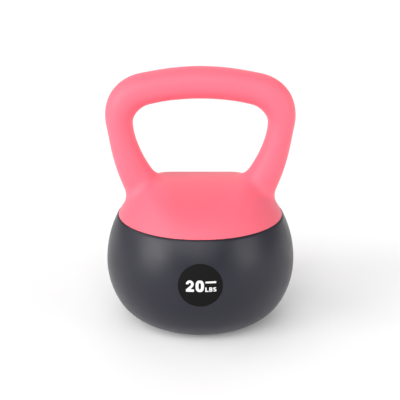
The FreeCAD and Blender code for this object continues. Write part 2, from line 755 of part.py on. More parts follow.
def make_nuts():
    """Make the ring of hexagon nuts under the washers."""
    body = new_body("stud_nuts")
    prism = feature(body, "AdditivePrism", "hexagon", Polygon=NUT_SIDES)
    prism.AttachmentSupport = (origin_plane(body, "XY_Plane"), "")
    prism.MapMode = "FlatFace"
    bind(prism, Circumradius="dims.nut_flats / 2 / cos(30)", Height="dims.nut_height")
    place(prism, "AttachmentOffset", "dims.stud_circle", "0", NUT_BOTTOM)
    doc.recompute()
    sketch = new_sketch(body, "bore", lift=WASHER_BOTTOM)
    draw_circle(sketch, "dims.stud_radius", x="dims.stud_circle")
    bore = pocket(body, sketch, "dims.nut_height", "bore_cut")
    repeat_round(body, [prism, bore])
    return body


# ------------------------------------------------------------------ the bowl and its filling

def make_bowl():
    """Turn the bowl with its bolting flange and lip, then drill the flange."""
    body = new_body("bowl")
    profile = new_sketch(body, "profile", "XZ_Plane")
    flange_bottom = "(dims.flange_top - dims.flange_wall)"
    wall = "dims.shell_wall"
    bead_outer = "(dims.lip_inner + dims.bead_width)"
    bead_bottom = "(dims.seam_height - dims.bead_width)"
    steps = [
        line_to("dims.recess_radius", "dims.recess_depth"),
        line_to("dims.recess_radius", "0"),
        line_to(FLAT_RADIUS, "0"),
        arc_to(*corner_point(), "dims.base_corner", 1),
        arc_to("dims.body_radius", "dims.equator_height", "dims.lower_radius", 1),
        arc_to(upper_reach("dims.seam_height"), "dims.seam_height", "dims.upper_radius", 1),
        line_to(bead_outer, "dims.seam_height"),
        line_to(bead_outer, bead_bottom),
        line_to("dims.lip_inner", bead_bottom),
        line_to("dims.lip_inner", "dims.flange_top"),
        line_to("dims.flange_inner", "dims.flange_top"),
        line_to("dims.flange_inner", flange_bottom),
        line_to(upper_reach(flange_bottom, wall), flange_bottom),
        arc_to(f"(dims.body_radius - {wall})", "dims.equator_height", f"(dims.upper_radius - {wall})", -1),
        arc_to(*corner_point(wall), f"(dims.lower_radius - {wall})", -1),
        arc_to(corner_reach("dims.base_wall", wall), "dims.base_wall", f"(dims.base_corner - {wall})", -1),
        line_to("dims.port_radius", "dims.base_wall"),
        line_to("dims.port_radius", "dims.recess_depth"),
    ]
    draw_outline(profile, ("dims.port_radius", "dims.recess_depth"), steps)
    turned = revolve(body, profile)
    lip = value(upper_reach("dims.seam_height"))
    seam = value("dims.seam_height")

    def is_lip(edge, middle):
        """Tell whether an edge is the lip's outer top edge."""
        reach = math.hypot(middle.x, middle.y)
        return abs(middle.z - seam) < ON_EDGE and abs(reach - lip) < ON_EDGE

    round_edges(body, turned, "dims.lip_round", is_lip, "lip")
    stud_holes(body, "dims.flange_top", "dims.flange_wall")
    return body


def make_skin(name, depth):
    """Turn a thin skin of the bowl's surface round the label's height."""
    body = new_body(name)
    profile = new_sketch(body, "profile", "XZ_Plane")
    low = "(dims.label_height - dims.label_radius - 2 * dims.shell_wall)"
    high = "(dims.label_height + dims.label_radius + dims.shell_wall)"
    steps = [
        arc_to("dims.body_radius", "dims.equator_height", "dims.lower_radius", 1),
        arc_to(upper_reach(high), high, "dims.upper_radius", 1),
        line_to(upper_reach(high, depth), high),
        arc_to(f"(dims.body_radius - {depth})", "dims.equator_height", f"(dims.upper_radius - {depth})", -1),
        arc_to(lower_reach(low, depth), low, f"(dims.lower_radius - {depth})", -1),
        line_to(lower_reach(low), low),
    ]
    draw_outline(profile, (lower_reach(low), low), steps)
    revolve(body, profile)
    return body


def make_character(name, left, bottom, prefix):
    """Make one block character as front-to-back bars, ready to be trimmed to the label's surface."""
    width, tall, stroke = f"dims.{prefix}_width", f"dims.{prefix}_tall", f"dims.{prefix}_stroke"
    edges = {
        "left": left,
        "right": f"({left} + {width})",
        "left_edge": f"({left} + {stroke})",
        "right_edge": f"({left} + {width} - {stroke})",
        "bottom": bottom,
        "top": f"({bottom} + {tall})",
        "lower_edge": f"({bottom} + {stroke})",
        "upper_edge": f"({bottom} + {tall} - {stroke})",
        "centre_low": f"({bottom} + ({tall} - {stroke}) / 2)",
        "centre_high": f"({bottom} + ({tall} + {stroke}) / 2)",
    }
    bars = []
    for segment in CHARACTERS[name]:
        first_x, last_x, first_z, last_z = (edges[key] for key in SEGMENTS[segment])
        bars.append(make_bar(f"{name}_{segment}", first_x, last_x, first_z, last_z))
    return bars


def make_bar(name, first_x, last_x, first_z, last_z):
    """Make one upright bar that reaches from the bowl's axis out past its front."""
    bar = doc.addObject("Part::Box", name)
    bind(bar, Length=f"{last_x} - {first_x}", Width="dims.body_radius + dims.shell_wall",
         Height=f"{last_z} - {first_z}")
    place(bar, "Placement", first_x, "-(dims.body_radius + dims.shell_wall)", first_z)
    return bar


def make_lettering():
    """Make the label's white lettering: two digits, three unit letters and a plain bar."""
    bottom = "dims.number_bottom"
    bars = []
    for index, name in enumerate(("two", "zero")):
        left = f"(dims.number_left + {index} * dims.number_pitch)"
        bars += make_character(name, left, bottom, "number")
    for index, name in enumerate(("letter_l", "letter_b", "letter_s")):
        left = f"(dims.unit_left + {index} * dims.unit_pitch)"
        bars += make_character(name, left, bottom, "unit")
    bar_bottom = f"({bottom} + dims.bar_rise)"
    bar_right = "(dims.unit_left + 2 * dims.unit_pitch + dims.unit_width)"
    bars.append(make_bar("plain_bar", "dims.unit_left", bar_right, bar_bottom, f"({bar_bottom} + dims.bar_tall)"))
    fused = boolean("MultiFuse", "lettering_bars", bars)
    return boolean("Common", "weight_numerals", [make_skin("lettering_skin", "dims.print_depth"), fused])


def make_label_blank():
    """Make the label's full disc, lettering included, as a curved skin of the bowl."""
    rod = doc.addObject("Part::Cylinder", "label_rod")
    bind(rod, Radius="dims.label_radius", Height="dims.body_radius + dims.shell_wall")
    rod.Placement.Rotation = FreeCAD.Rotation(FreeCAD.Vector(1, 0, 0), QUARTER_TURN)
    place(rod, "Placement", z="dims.label_height")
    return boolean("Common", "label_blank", [make_skin("label_skin", "dims.label_depth"), rod])


DISC_TOP = "(dims.base_wall + dims.disc_wall)"
FLANGE_TOP_OF_PORT = f"({DISC_TOP} + dims.port_flange_wall)"


def make_port_neck():
    """Turn the filling port's sleeve, with a flange that holds the base disc down."""
    body = new_body("port_neck")
    profile = new_sketch(body, "profile", "XZ_Plane")
    steps = [
        line_to("dims.port_radius", "dims.recess_depth"),
        line_to("dims.port_radius", DISC_TOP),
        line_to("dims.port_flange", DISC_TOP),
        line_to("dims.port_flange", FLANGE_TOP_OF_PORT),
        line_to("dims.port_radius", FLANGE_TOP_OF_PORT),
        line_to("dims.port_radius", "dims.port_top"),
        line_to("dims.port_bore", "dims.port_top"),
        line_to("dims.port_bore", "dims.recess_depth"),
    ]
    draw_outline(profile, ("dims.port_bore", "dims.recess_depth"), steps)
    revolve(body, profile)
    return body


def make_plug():
    """Make the stopper with its O-ring groove and coin slot."""
    body = new_body("filler_plug")
    disc = new_sketch(body, "disc", lift="dims.plug_bottom")
    draw_circle(disc, "dims.plug_radius")
    pad(body, disc, "(dims.plug_top - dims.plug_bottom)")
    ring = new_sketch(body, "groove", "XZ_Plane")
    floor_radius = "(dims.port_bore - 2 * dims.seal_section)"
    groove_low = "(dims.seal_height - dims.groove_width / 2)"
    groove_high = "(dims.seal_height + dims.groove_width / 2)"
    steps = [
        line_to("dims.port_bore", groove_low),
        line_to("dims.port_bore", groove_high),
        line_to(floor_radius, groove_high),
        line_to(floor_radius, groove_low),
    ]
    draw_outline(ring, (floor_radius, groove_low), steps)
    groove = feature(body, "Groove", "groove_cut", Profile=ring, ReferenceAxis=(ring, ["V_Axis"]), Angle=FULL_TURN)
    cut_checked(body, groove)
    slot = new_sketch(body, "slot", lift="(dims.plug_bottom + dims.slot_depth)")
    half_length, half_width = "dims.slot_length / 2", "dims.slot_width / 2"
    corners = [(f"-{half_length}", half_width), (half_length, half_width), (half_length, f"-{half_width}")]
    start = (f"-{half_length}", f"-{half_width}")
    draw_outline(slot, start, [line_to(*corner) for corner in corners] + [line_to(*start)])
    pocket(body, slot, "dims.slot_depth", "slot_cut")
    return body


def make_seal():
    """Make the stopper's O-ring."""
    ring = doc.addObject("Part::Torus", "plug_seal")
    bind(ring, Radius1="dims.port_bore - dims.seal_section", Radius2="dims.seal_section")
    place(ring, "Placement", z="dims.seal_height")
    ring.Label = "plug_seal"
    doc.recompute()
    return ring


def make_sand():
    """Turn the filling, from the base disc up to its level, around the port's neck."""
    body = new_body("iron_sand")
    profile = new_sketch(body, "profile", "XZ_Plane")
    wall = "dims.shell_wall"
    steps = [
        line_to("dims.port_bore", "dims.plug_top"),
        line_to("dims.port_bore", "dims.port_top"),
        line_to("dims.port_radius", "dims.port_top"),
        line_to("dims.port_radius", FLANGE_TOP_OF_PORT),
        line_to("dims.port_flange", FLANGE_TOP_OF_PORT),
        line_to("dims.port_flange", DISC_TOP),
        line_to("dims.disc_radius", DISC_TOP),
        line_to("dims.disc_radius", "dims.base_wall"),
        line_to(corner_reach("dims.base_wall", wall), "dims.base_wall"),
        arc_to(*corner_point(wall), f"(dims.base_corner - {wall})", 1),
        arc_to(f"(dims.body_radius - {wall})", "dims.equator_height", f"(dims.lower_radius - {wall})", 1),
        arc_to(upper_reach("dims.fill_height", wall), "dims.fill_height", f"(dims.upper_radius - {wall})", 1),
        line_to("0", "dims.fill_height"),
        line_to("0", "dims.plug_top"),
    ]
    draw_outline(profile, ("0", "dims.plug_top"), steps)
    revolve(body, profile)
    return body


# ------------------------------------------------------------------ assembly, checks and files

def build():
    """Make every sub-part and return the objects that are pieces of the kettlebell."""
    rod = rod_along_handle("handle_rod", ["dims.tube_radius"])
    former = former_body("former", "0")
    collars = make_collars()
    gussets = make_gussets()
    lettering = make_lettering()
    blank = make_label_blank()
    bead_bottom = "(dims.seam_height - dims.bead_width)"
    bead_outer = "(dims.lip_inner + dims.bead_width)"
    return [
        make_handle_cap(former, rod),
        make_former(former, rod, collars, gussets),
        rod_along_handle("handle_tube", ["dims.tube_radius", "(dims.tube_radius - dims.tube_wall)"]),
        collars,
        gussets,
        flat_ring("anchor_plate", "dims.plate_radius", None, PLATE_BOTTOM, "dims.plate_wall"),
        make_studs(),
        flat_ring("neck_gasket", "dims.plate_radius", "dims.flange_inner", "dims.flange_top",
                  "dims.gasket_wall", drilled=True),
        flat_ring("clamp_ring", "dims.plate_radius", "dims.clamp_inner", CLAMP_BOTTOM,
                  "dims.clamp_wall", drilled=True),
        make_washers(),
        make_nuts(),
        flat_ring("seam_bead", bead_outer, "dims.lip_inner", bead_bottom, "dims.bead_width"),
        boolean("Cut", "body_shell", [make_bowl(), blank]),
        make_sand(),
        flat_ring("base_disc", "dims.disc_radius", "dims.port_radius", "dims.base_wall", "dims.disc_wall"),
        make_port_neck(),
        make_plug(),
        make_seal(),
        boolean("Cut", "weight_label", [blank, lettering]),
        lettering,
    ]


def check(pieces):
    """Stop if any object failed, or if a piece has no valid solid."""
    for item in doc.Objects:
        if "Invalid" in item.State or "Error" in item.State:
            raise RuntimeError(f"{item.Label} failed: {item.State}")
    for piece in pieces:
        if piece.Shape.isNull() or not piece.Shape.isValid() or not piece.Shape.Solids:
            raise RuntimeError(f"{piece.Label} has no valid solid")


def write(pieces):
    """Write each piece to its own STEP file, named after its label."""
    os.makedirs(PARTS_FOLDER, exist_ok=True)
    for piece in pieces:
        piece.Shape.exportStep(os.path.join(PARTS_FOLDER, f"{piece.Label}.step"))
        solids = len(piece.Shape.Solids)
        print(f"{piece.Label}: {solids} solid(s), {piece.Shape.Volume / 1000:.2f} cm3")


sheet = make_sheet()
kettlebell = build()
doc.recompute()
check(kettlebell)
write(kettlebell)
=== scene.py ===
"""Kettlebell with a soft one-piece handle and shoulder on a filled soft bowl, dressed around its frame.

Lengths are metres. The origin is the centre of the flat base, +Z is up, the grip runs along X and the
weight label faces -Y.
"""
import logging
import math
from dataclasses import dataclass, field
from enum import Enum
from typing import Callable, Iterable, Protocol, Sequence, Union

import bmesh
import bpy
import numpy as np
from mathutils import Matrix, Vector


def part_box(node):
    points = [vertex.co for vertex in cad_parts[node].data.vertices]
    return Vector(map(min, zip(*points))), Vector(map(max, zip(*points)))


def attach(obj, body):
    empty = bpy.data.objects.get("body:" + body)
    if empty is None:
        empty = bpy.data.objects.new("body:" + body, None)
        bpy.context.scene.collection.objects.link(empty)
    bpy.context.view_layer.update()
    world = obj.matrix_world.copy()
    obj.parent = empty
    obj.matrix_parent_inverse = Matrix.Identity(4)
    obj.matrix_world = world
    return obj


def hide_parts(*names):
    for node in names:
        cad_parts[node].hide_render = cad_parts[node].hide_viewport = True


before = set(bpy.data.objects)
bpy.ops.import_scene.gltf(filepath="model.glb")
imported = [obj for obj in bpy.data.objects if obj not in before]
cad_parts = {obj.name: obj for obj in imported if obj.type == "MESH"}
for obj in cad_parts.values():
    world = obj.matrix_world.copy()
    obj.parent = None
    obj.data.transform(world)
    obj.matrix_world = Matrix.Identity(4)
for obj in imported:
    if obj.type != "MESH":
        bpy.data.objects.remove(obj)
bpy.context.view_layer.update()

log = logging.getLogger("kettlebell")

MM = 0.001
BODY = "root"
TUBE_RADIUS = 11 * MM
FULL_TURN = 2 * math.pi

PORT_SIDES = 96
AXIS_SHARE = 0.02
AXIS_GAP = 0.02 * MM
PINHOLE = 0.5 * MM
PROBE = 0.02 * MM
LEAST_SLOPE = 0.05
LONGEST_MOVE = 3 * MM
KEPT_SHARE = 0.4

# Numbers of the colour sockets of a Mix node.
MIX_FIRST = 6
MIX_SECOND = 7
MIX_RESULT = 2

Point2 = tuple[float, float]
Range = tuple[float, float]
Rgb = tuple[float, float, float]
Field = Callable[[np.ndarray], np.ndarray]
Number = Union[float, "Signal"]
Colour = Union[tuple, "Signal"]


# ---------------------------------------------------------------------------------------------
# Places of the CAD pieces


def reach_of(node: str) -> float:
    """Return how far a CAD node reaches from the middle along X."""
    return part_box(node)[1].x


def bottom_of(node: str) -> float:
    """Return the height of a CAD node's lowest point."""
    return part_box(node)[0].z


def top_of(node: str) -> float:
    """Return the height of a CAD node's highest point."""
    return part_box(node)[1].z


def middle_of(node: str) -> float:
    """Return the height halfway between a CAD node's lowest and highest points."""
    return (bottom_of(node) + top_of(node)) / 2


# ---------------------------------------------------------------------------------------------
# Shader maths


class Signal:
    """A shader value that can be used in plain arithmetic."""

    def __init__(self, graph: "Graph", socket: bpy.types.NodeSocket) -> None:
        """Wrap one output socket of a graph."""
        self.graph = graph
        self.socket = socket

    def _join(self, operation: str, first: Number, second: Number) -> "Signal":
        """Return the result of one Math node."""
        settings = {"operation": operation}
        return self.graph.node("ShaderNodeMath", settings, {0: first, 1: second}).out()

    def __add__(self, other: Number) -> "Signal":
        """Return self + other."""
        return self._join("ADD", self, other)

    def __sub__(self, other: Number) -> "Signal":
        """Return self - other."""
        return self._join("SUBTRACT", self, other)

    def __rsub__(self, other: Number) -> "Signal":
        """Return other - self."""
        return self._join("SUBTRACT", other, self)

    def __mul__(self, other: Number) -> "Signal":
        """Return self * other."""
        return self._join("MULTIPLY", self, other)

    __radd__ = __add__
    __rmul__ = __mul__


@dataclass(frozen=True)
class Placed:
    """A node that stands in a graph."""

    graph: "Graph"
    item: bpy.types.Node

    def out(self, name: Union[str, int] = 0) -> Signal:
        """Return one of the node's outputs as a signal."""
        return Signal(self.graph, self.item.outputs[name])


class Graph:
    """The node tree of one material."""

    def __init__(self, name: str) -> None:
        """Make an empty material with an output node.

        Args:
            name: name of the material.
        """
        self.material = bpy.data.materials.new(name)
        self.material.use_nodes = True
        self.tree = self.material.node_tree
        self.tree.nodes.clear()
        self.output = self.tree.nodes.new("ShaderNodeOutputMaterial")

    def node(self, kind: str, settings: dict | None = None, inputs: dict | None = None) -> Placed:
        """Add a node.

        Args:
            kind: Blender's name of the node type.
            settings: properties to set first, by name.
            inputs: values or signals by socket name or number.

        Returns:
            The placed node.
        """
        item = self.tree.nodes.new(kind)
        for key, setting in (settings or {}).items():
            setattr(item, key, setting)
        for key, given in (inputs or {}).items():
            if isinstance(given, Signal):
                self.tree.links.new(given.socket, item.inputs[key])
            else:
                item.inputs[key].default_value = given
        return Placed(self, item)

    def blend(self, share: Number, first: Colour, second: Colour) -> Signal:
        """Mix two colours.

        Args:
            share: part of the second colour, from 0 to 1.
            first: colour at share 0.
            second: colour at share 1.

        Returns:
            The mixed colour.
        """
        sockets = {"Factor": share, MIX_FIRST: first, MIX_SECOND: second}
        return self.node("ShaderNodeMix", {"data_type": "RGBA"}, sockets).out(MIX_RESULT)

    def ramp(self, signal: Signal, low: float, high: float) -> Signal:
        """Spread the part of a signal between low and high over 0 to 1, and clamp it."""
        sockets = {"Value": signal, "From Min": low, "From Max": high}
        return self.node("ShaderNodeMapRange", {"clamp": True}, sockets).out()

    def noise(self, size: float, detail: float = 2.0, roughness: float = 0.5) -> Signal:
        """Make a noise from 0 to 1.

        Args:
            size: about how wide its lumps are, in metres.
            detail: number of finer layers.
            roughness: weight of the finer layers.

        Returns:
            The noise.
        """
        place = self.node("ShaderNodeTexCoord").out("Object")
        sockets = {"Vector": place, "Scale": 1 / size, "Detail": detail, "Roughness": roughness}
        return self.node("ShaderNodeTexNoise", {"noise_dimensions": "3D"}, sockets).out()

    def cells(self, size: float) -> Signal:
        """Make the distance to the nearest of scattered points.

        Args:
            size: about how far apart the points are, in metres.

        Returns:
            The distance, as a share of that size.
        """
        place = self.node("ShaderNodeTexCoord").out("Object")
        sockets = {"Vector": place, "Scale": 1 / size}
        return self.node("ShaderNodeTexVoronoi", {"feature": "F1"}, sockets).out()

    def bump(self, height: Signal, depth: float, strength: float = 1.0) -> Signal:
        """Turn a height from 0 to 1, depth metres deep, into a normal."""
        sockets = {"Height": height, "Distance": depth, "Strength": strength}
        return self.node("ShaderNodeBump", {}, sockets).out()

    def finish(self, **sockets: Union[float, tuple, Signal]) -> bpy.types.Material:
        """End the graph in a Principled shader.

        Args:
            **sockets: values or signals by socket name, with _ for a space.

        Returns:
            The finished material.
        """
        inputs = {name.replace("_", " "): given for name, given in sockets.items()}
        shader = self.node("ShaderNodeBsdfPrincipled", {}, inputs)
        self.tree.links.new(shader.item.outputs[0], self.output.inputs["Surface"])
        return self.material


class SkyGraph(Graph):
    """The node tree of the surroundings."""

    def __init__(self, name: str) -> None:
        """Make an empty world with an output node.

        Args:
            name: name of the world.
        """
        self.world = bpy.data.worlds.new(name)
        self.world.use_nodes = True
        self.tree = self.world.node_tree
        self.tree.nodes.clear()
        self.output = self.tree.nodes.new("ShaderNodeOutputWorld")


def tint(colour: Rgb, gain: float = 1.0) -> tuple[float, float, float, float]:
    """Return a colour with alpha, made lighter or darker by gain."""
    return tuple(min(1.0, part * gain) for part in colour) + (1.0,)


# ---------------------------------------------------------------------------------------------
# Finishes


class Finish(Protocol):
    """What every finish offers."""

    name: str

    def material(self) -> bpy.types.Material:
        """Make the material."""


@dataclass(frozen=True)
class SoftVinyl:
    """Matte soft-touch vinyl: a very fine leathery grain, soft blotches and a few dust pits."""

    name: str
    colour: Rgb
    roughness: float = 0.5
    shine: float = 0.5
    give: float = 0.0
    give_reach: float = 2.5 * MM
    give_spread: Rgb = (1.0, 0.35, 0.3)
    sheen: float = 0.1
    mottling: float = 0.06
    cloud_size: float = 38 * MM
    smudge_size: float = 17 * MM
    smudge_range: Range = (0.35, 0.75)
    pit_size: float = 2.2 * MM
    pit_range: Range = (0.74, 0.80)
    pit_share: float = 0.18
    pit_gain: float = 0.55
    grain_size: float = 0.55 * MM
    grain_depth: float = 0.035 * MM
    leather_ratio: float = 1.4

    def material(self) -> bpy.types.Material:
        """Make the material.

        Returns:
            The material, with its shader nodes.
        """
        graph = Graph(self.name)
        cloud = graph.noise(self.cloud_size, 3.0)
        smudge = graph.ramp(graph.noise(self.smudge_size, 4.0, 0.6), *self.smudge_range)
        fine = graph.noise(self.grain_size, 3.0, 0.55)
        leather = graph.cells(self.leather_ratio * self.grain_size)
        darker, lighter = tint(self.colour, 1 - self.mottling), tint(self.colour, 1 + self.mottling)
        shade = graph.blend(cloud, darker, lighter)
        pit = graph.ramp(graph.noise(self.pit_size, 1.0), *self.pit_range)
        relief = fine * 0.6 + leather * 0.5 - pit * 0.3
        return graph.finish(
            Base_Color=graph.blend(pit * self.pit_share, shade, tint(self.colour, self.pit_gain)),
            Roughness=self.roughness - 0.05 + smudge * 0.07 + (fine - 0.5) * 0.06,
            Normal=graph.bump(relief, self.grain_depth),
            Specular_IOR_Level=self.shine,
            Subsurface_Weight=self.give,
            Subsurface_Radius=self.give_spread,
            Subsurface_Scale=self.give_reach,
            Sheen_Weight=self.sheen,
            Sheen_Roughness=0.5,
        )


@dataclass(frozen=True)
class PrintedInk:
    """A thin printed film: flat colour, a trace of screen texture and tiny pinholes."""

    name: str
    colour: Rgb
    under: Rgb
    roughness: float = 0.42
    shine: float = 0.5
    screen_size: float = 0.35 * MM
    screen_depth: float = 0.012 * MM
    patch_size: float = 9 * MM
    pinhole_size: float = 0.9 * MM
    pinhole_range: Range = (0.76, 0.82)
    pinhole_share: float = 0.5

    def material(self) -> bpy.types.Material:
        """Make the material.

        Returns:
            The material, with its shader nodes.
        """
        graph = Graph(self.name)
        screen = graph.noise(self.screen_size)
        patch = graph.noise(self.patch_size, 3.0)
        pinhole = graph.ramp(graph.noise(self.pinhole_size, 1.0), *self.pinhole_range)
        shade = graph.blend(patch, tint(self.colour, 0.93), tint(self.colour, 1.05))
        return graph.finish(
            Base_Color=graph.blend(pinhole * self.pinhole_share, shade, tint(self.under)),
            Roughness=self.roughness + (patch - 0.5) * 0.1,
            Normal=graph.bump(screen, self.screen_depth),
            Specular_IOR_Level=self.shine,
        )


@dataclass(frozen=True)
class BareSteel:
    """Plain or zinc-plated steel with drawn streaks."""

    name: str
    colour: Rgb = (0.56, 0.57, 0.58)
    streak_size: float = 1.2 * MM
    streak_depth: float = 0.01 * MM
    bloom_size: float = 12 * MM

    def material(self) -> bpy.types.Material:
        """Make the material.

        Returns:
            The material, with its shader nodes.
        """
        graph = Graph(self.name)
        streak = graph.noise(self.streak_size, 5.0, 0.7)
        bloom = graph.noise(self.bloom_size, 3.0)
        return graph.finish(
            Base_Color=graph.blend(bloom, tint(self.colour, 0.85), tint(self.colour, 1.1)),
            Metallic=1.0,
            Roughness=0.28 + streak * 0.2,
            Normal=graph.bump(streak, self.streak_depth),
        )


@dataclass(frozen=True)
class MouldedPlastic:
    """Hard moulded plastic or rubber with a faint spark-eroded texture."""

    name: str
    colour: Rgb
    roughness: float = 0.5
    texture_size: float = 0.4 * MM
    texture_depth: float = 0.02 * MM
    flow_size: float = 15 * MM

    def material(self) -> bpy.types.Material:
        """Make the material.

        Returns:
            The material, with its shader nodes.
        """
        graph = Graph(self.name)
        texture = graph.noise(self.texture_size)
        flow = graph.noise(self.flow_size, 3.0)
        return graph.finish(
            Base_Color=graph.blend(flow, tint(self.colour, 0.9), tint(self.colour, 1.12)),
            Roughness=self.roughness + (texture - 0.5) * 0.15,
            Normal=graph.bump(texture, self.texture_depth),
        )


@dataclass(frozen=True)
class IronSand:
    """Loose iron sand: dark grains with a few bright ones."""

    name: str
    colour: Rgb = (0.05, 0.046, 0.042)
    grain_size: float = 0.7 * MM
    grain_depth: float = 0.3 * MM
    glint_size: float = 0.8 * MM
    glint_range: Range = (0.62, 0.7)
    glint_gain: float = 5.0

    def material(self) -> bpy.types.Material:
        """Make the material.

        Returns:
            The material, with its shader nodes.
        """
        graph = Graph(self.name)
        grains = graph.cells(self.grain_size)
        bright = graph.ramp(graph.noise(self.glint_size, 1.0), *self.glint_range)
        return graph.finish(
            Base_Color=graph.blend(bright, tint(self.colour), tint(self.colour, self.glint_gain)),
            Metallic=bright * 0.5,
            Roughness=0.55,
            Normal=graph.bump(1 - grains, self.grain_depth),
        )


PINK_VINYL = SoftVinyl(
    "pink_soft_vinyl", (0.95, 0.130, 0.191), roughness=0.56, give=0.12, sheen=0.12)
GREY_VINYL = SoftVinyl(
    "charcoal_soft_vinyl", (0.0098, 0.0094, 0.0185), roughness=0.4, shine=0.41, sheen=0.0, mottling=0.1)
BLACK_INK = PrintedInk(
    "black_label_print", (0.004, 0.004, 0.004), (0.012, 0.012, 0.012), roughness=0.6, shine=0.12)
WHITE_INK = PrintedInk("white_label_print", (0.74, 0.74, 0.74), (0.3, 0.3, 0.3))
SEALANT = MouldedPlastic("dark_sealant", (0.006, 0.006, 0.007), roughness=0.4)
BLACK_PLASTIC = MouldedPlastic("black_port_plastic", (0.02, 0.02, 0.021), roughness=0.45)
GREY_PLASTIC = MouldedPlastic("grey_former_plastic", (0.1, 0.1, 0.105))
BLACK_RUBBER = MouldedPlastic("black_rubber", (0.012, 0.012, 0.012), roughness=0.6)
STEEL = BareSteel("welded_steel")
ZINC = BareSteel("zinc_plated_steel", (0.62, 0.64, 0.66))
SAND = IronSand("iron_sand_grains")

HIDDEN_FINISHES: dict[str, Finish] = {
    "shoulder_core": GREY_PLASTIC,
    "handle_tube": STEEL,
    "foot_collars": STEEL,
    "foot_gussets": STEEL,
    "anchor_plate": STEEL,
    "weld_studs": ZINC,
    "neck_gasket": BLACK_RUBBER,
    "clamp_ring": ZINC,
    "stud_washers": ZINC,
    "stud_nuts": ZINC,
    "iron_sand": SAND,
    "base_disc": GREY_PLASTIC,
    "plug_seal": BLACK_RUBBER,
}


# ---------------------------------------------------------------------------------------------
# Meshes


def object_from(name: str, points: np.ndarray, faces: Iterable[Sequence[int]]) -> bpy.types.Object:
    """Make a smooth-shaded mesh object.

    Args:
        name: name of the object.
        points: N by 3 array of places.
        faces: corner numbers of each face.

    Returns:
        The object, linked to the scene.
    """
    mesh = bpy.data.meshes.new(name)
    mesh.from_pydata([tuple(map(float, point)) for point in points], [], [list(face) for face in faces])
    mesh.validate()
    item = bpy.data.objects.new(name, mesh)
    bpy.context.scene.collection.objects.link(item)
    shade_smooth(item)
    return item


def shade_smooth(item: bpy.types.Object, sharp_degrees: float = 40.0) -> None:
    """Shade a mesh smooth, but keep its sharp edges crisp.

    Args:
        item: the mesh object.
        sharp_degrees: an edge is sharp where the surface turns by more than this.
    """
    mesh = item.data
    mesh.polygons.foreach_set("use_smooth", [True] * len(mesh.polygons))
    shell = bmesh.new()
    shell.from_mesh(mesh)
    limit = math.radians(sharp_degrees)
    for edge in shell.edges:
        edge.smooth = len(edge.link_faces) != 2 or edge.calc_face_angle(0.0) < limit
    shell.to_mesh(mesh)
    shell.free()


def tidy_normals(item: bpy.types.Object) -> None:
    """Merge doubled points and turn all faces outwards.

    Args:
        item: an object with a closed mesh.
    """
    shell = bmesh.new()
    shell.from_mesh(item.data)
    bmesh.ops.remove_doubles(shell, verts=shell.verts, dist=1e-6)
    bmesh.ops.recalc_face_normals(shell, faces=shell.faces)
    shell.to_mesh(item.data)
    shell.free()


def settle(item: bpy.types.Object, node: str, finish: Finish, body: str = BODY) -> bpy.types.Object:
    """Dress a finished mesh and let it stand for its CAD node.

    Args:
        item: the mesh object, in place.
        node: the CAD node it replaces.
        finish: the finish that makes its material.
        body: the CAD body that it rides on.

    Returns:
        The same object.
    """
    item.data.materials.clear()
    item.data.materials.append(finish.material())
    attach(item, body)
    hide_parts(node)
    log.info("%s: %d points, %s", item.name, len(item.data.vertices), finish.name)
    return item


def arc_points(centre: Point2, radii: Point2, start: float, end: float, steps: int) -> list[Point2]:
    """Return points along an ellipse's arc.

    Args:
        centre: centre of the ellipse.
        radii: its two radii, along each axis.
        start: first angle in degrees.
        end: last angle in degrees.
        steps: number of chords.

    Returns:
        The points, both ends included.
    """
    angles = np.radians(np.linspace(start, end, steps + 1))
    across = centre[0] + radii[0] * np.cos(angles)
    up = centre[1] + radii[1] * np.sin(angles)
    return list(zip(across.tolist(), up.tolist()))


def turned(outline: Sequence[Point2], angles: np.ndarray) -> np.ndarray:
    """Turn an outline about the vertical axis.

    Args:
        outline: its (radius, height) points.
        angles: angle of each column of points.

    Returns:
        N by 3 array of places, ring after ring.
    """
    rings = np.array(outline)
    return np.stack([
        np.outer(rings[:, 0], np.cos(angles)),
        np.outer(rings[:, 0], np.sin(angles)),
        np.repeat(rings[:, 1:], len(angles), axis=1),
    ], axis=-1).reshape(-1, 3)


def panel(ring: int, above: int, side: int, columns: int) -> tuple[int, int, int, int]:
    """Corner numbers of the face between two rings that follows one column."""
    beside, low, high = (side + 1) % columns, ring * columns, above * columns
    return low + side, low + beside, high + beside, high + side


def lathe(name: str, outline: Sequence[Point2], segments: int = 192) -> bpy.types.Object:
    """Turn a closed outline into a solid.

    Args:
        name: name of the object.
        outline: its (radius, height) points.
        segments: number of columns round the axis.

    Returns:
        The mesh object.
    """
    points = turned(outline, np.arange(segments) * FULL_TURN / segments)
    count = len(outline)
    faces = []
    for ring in range(count):
        faces += [panel(ring, (ring + 1) % count, side, segments) for side in range(segments)]
    item = object_from(name, points, faces)
    tidy_normals(item)
    shade_smooth(item)
    return item


# ---------------------------------------------------------------------------------------------
# The bowl's surface


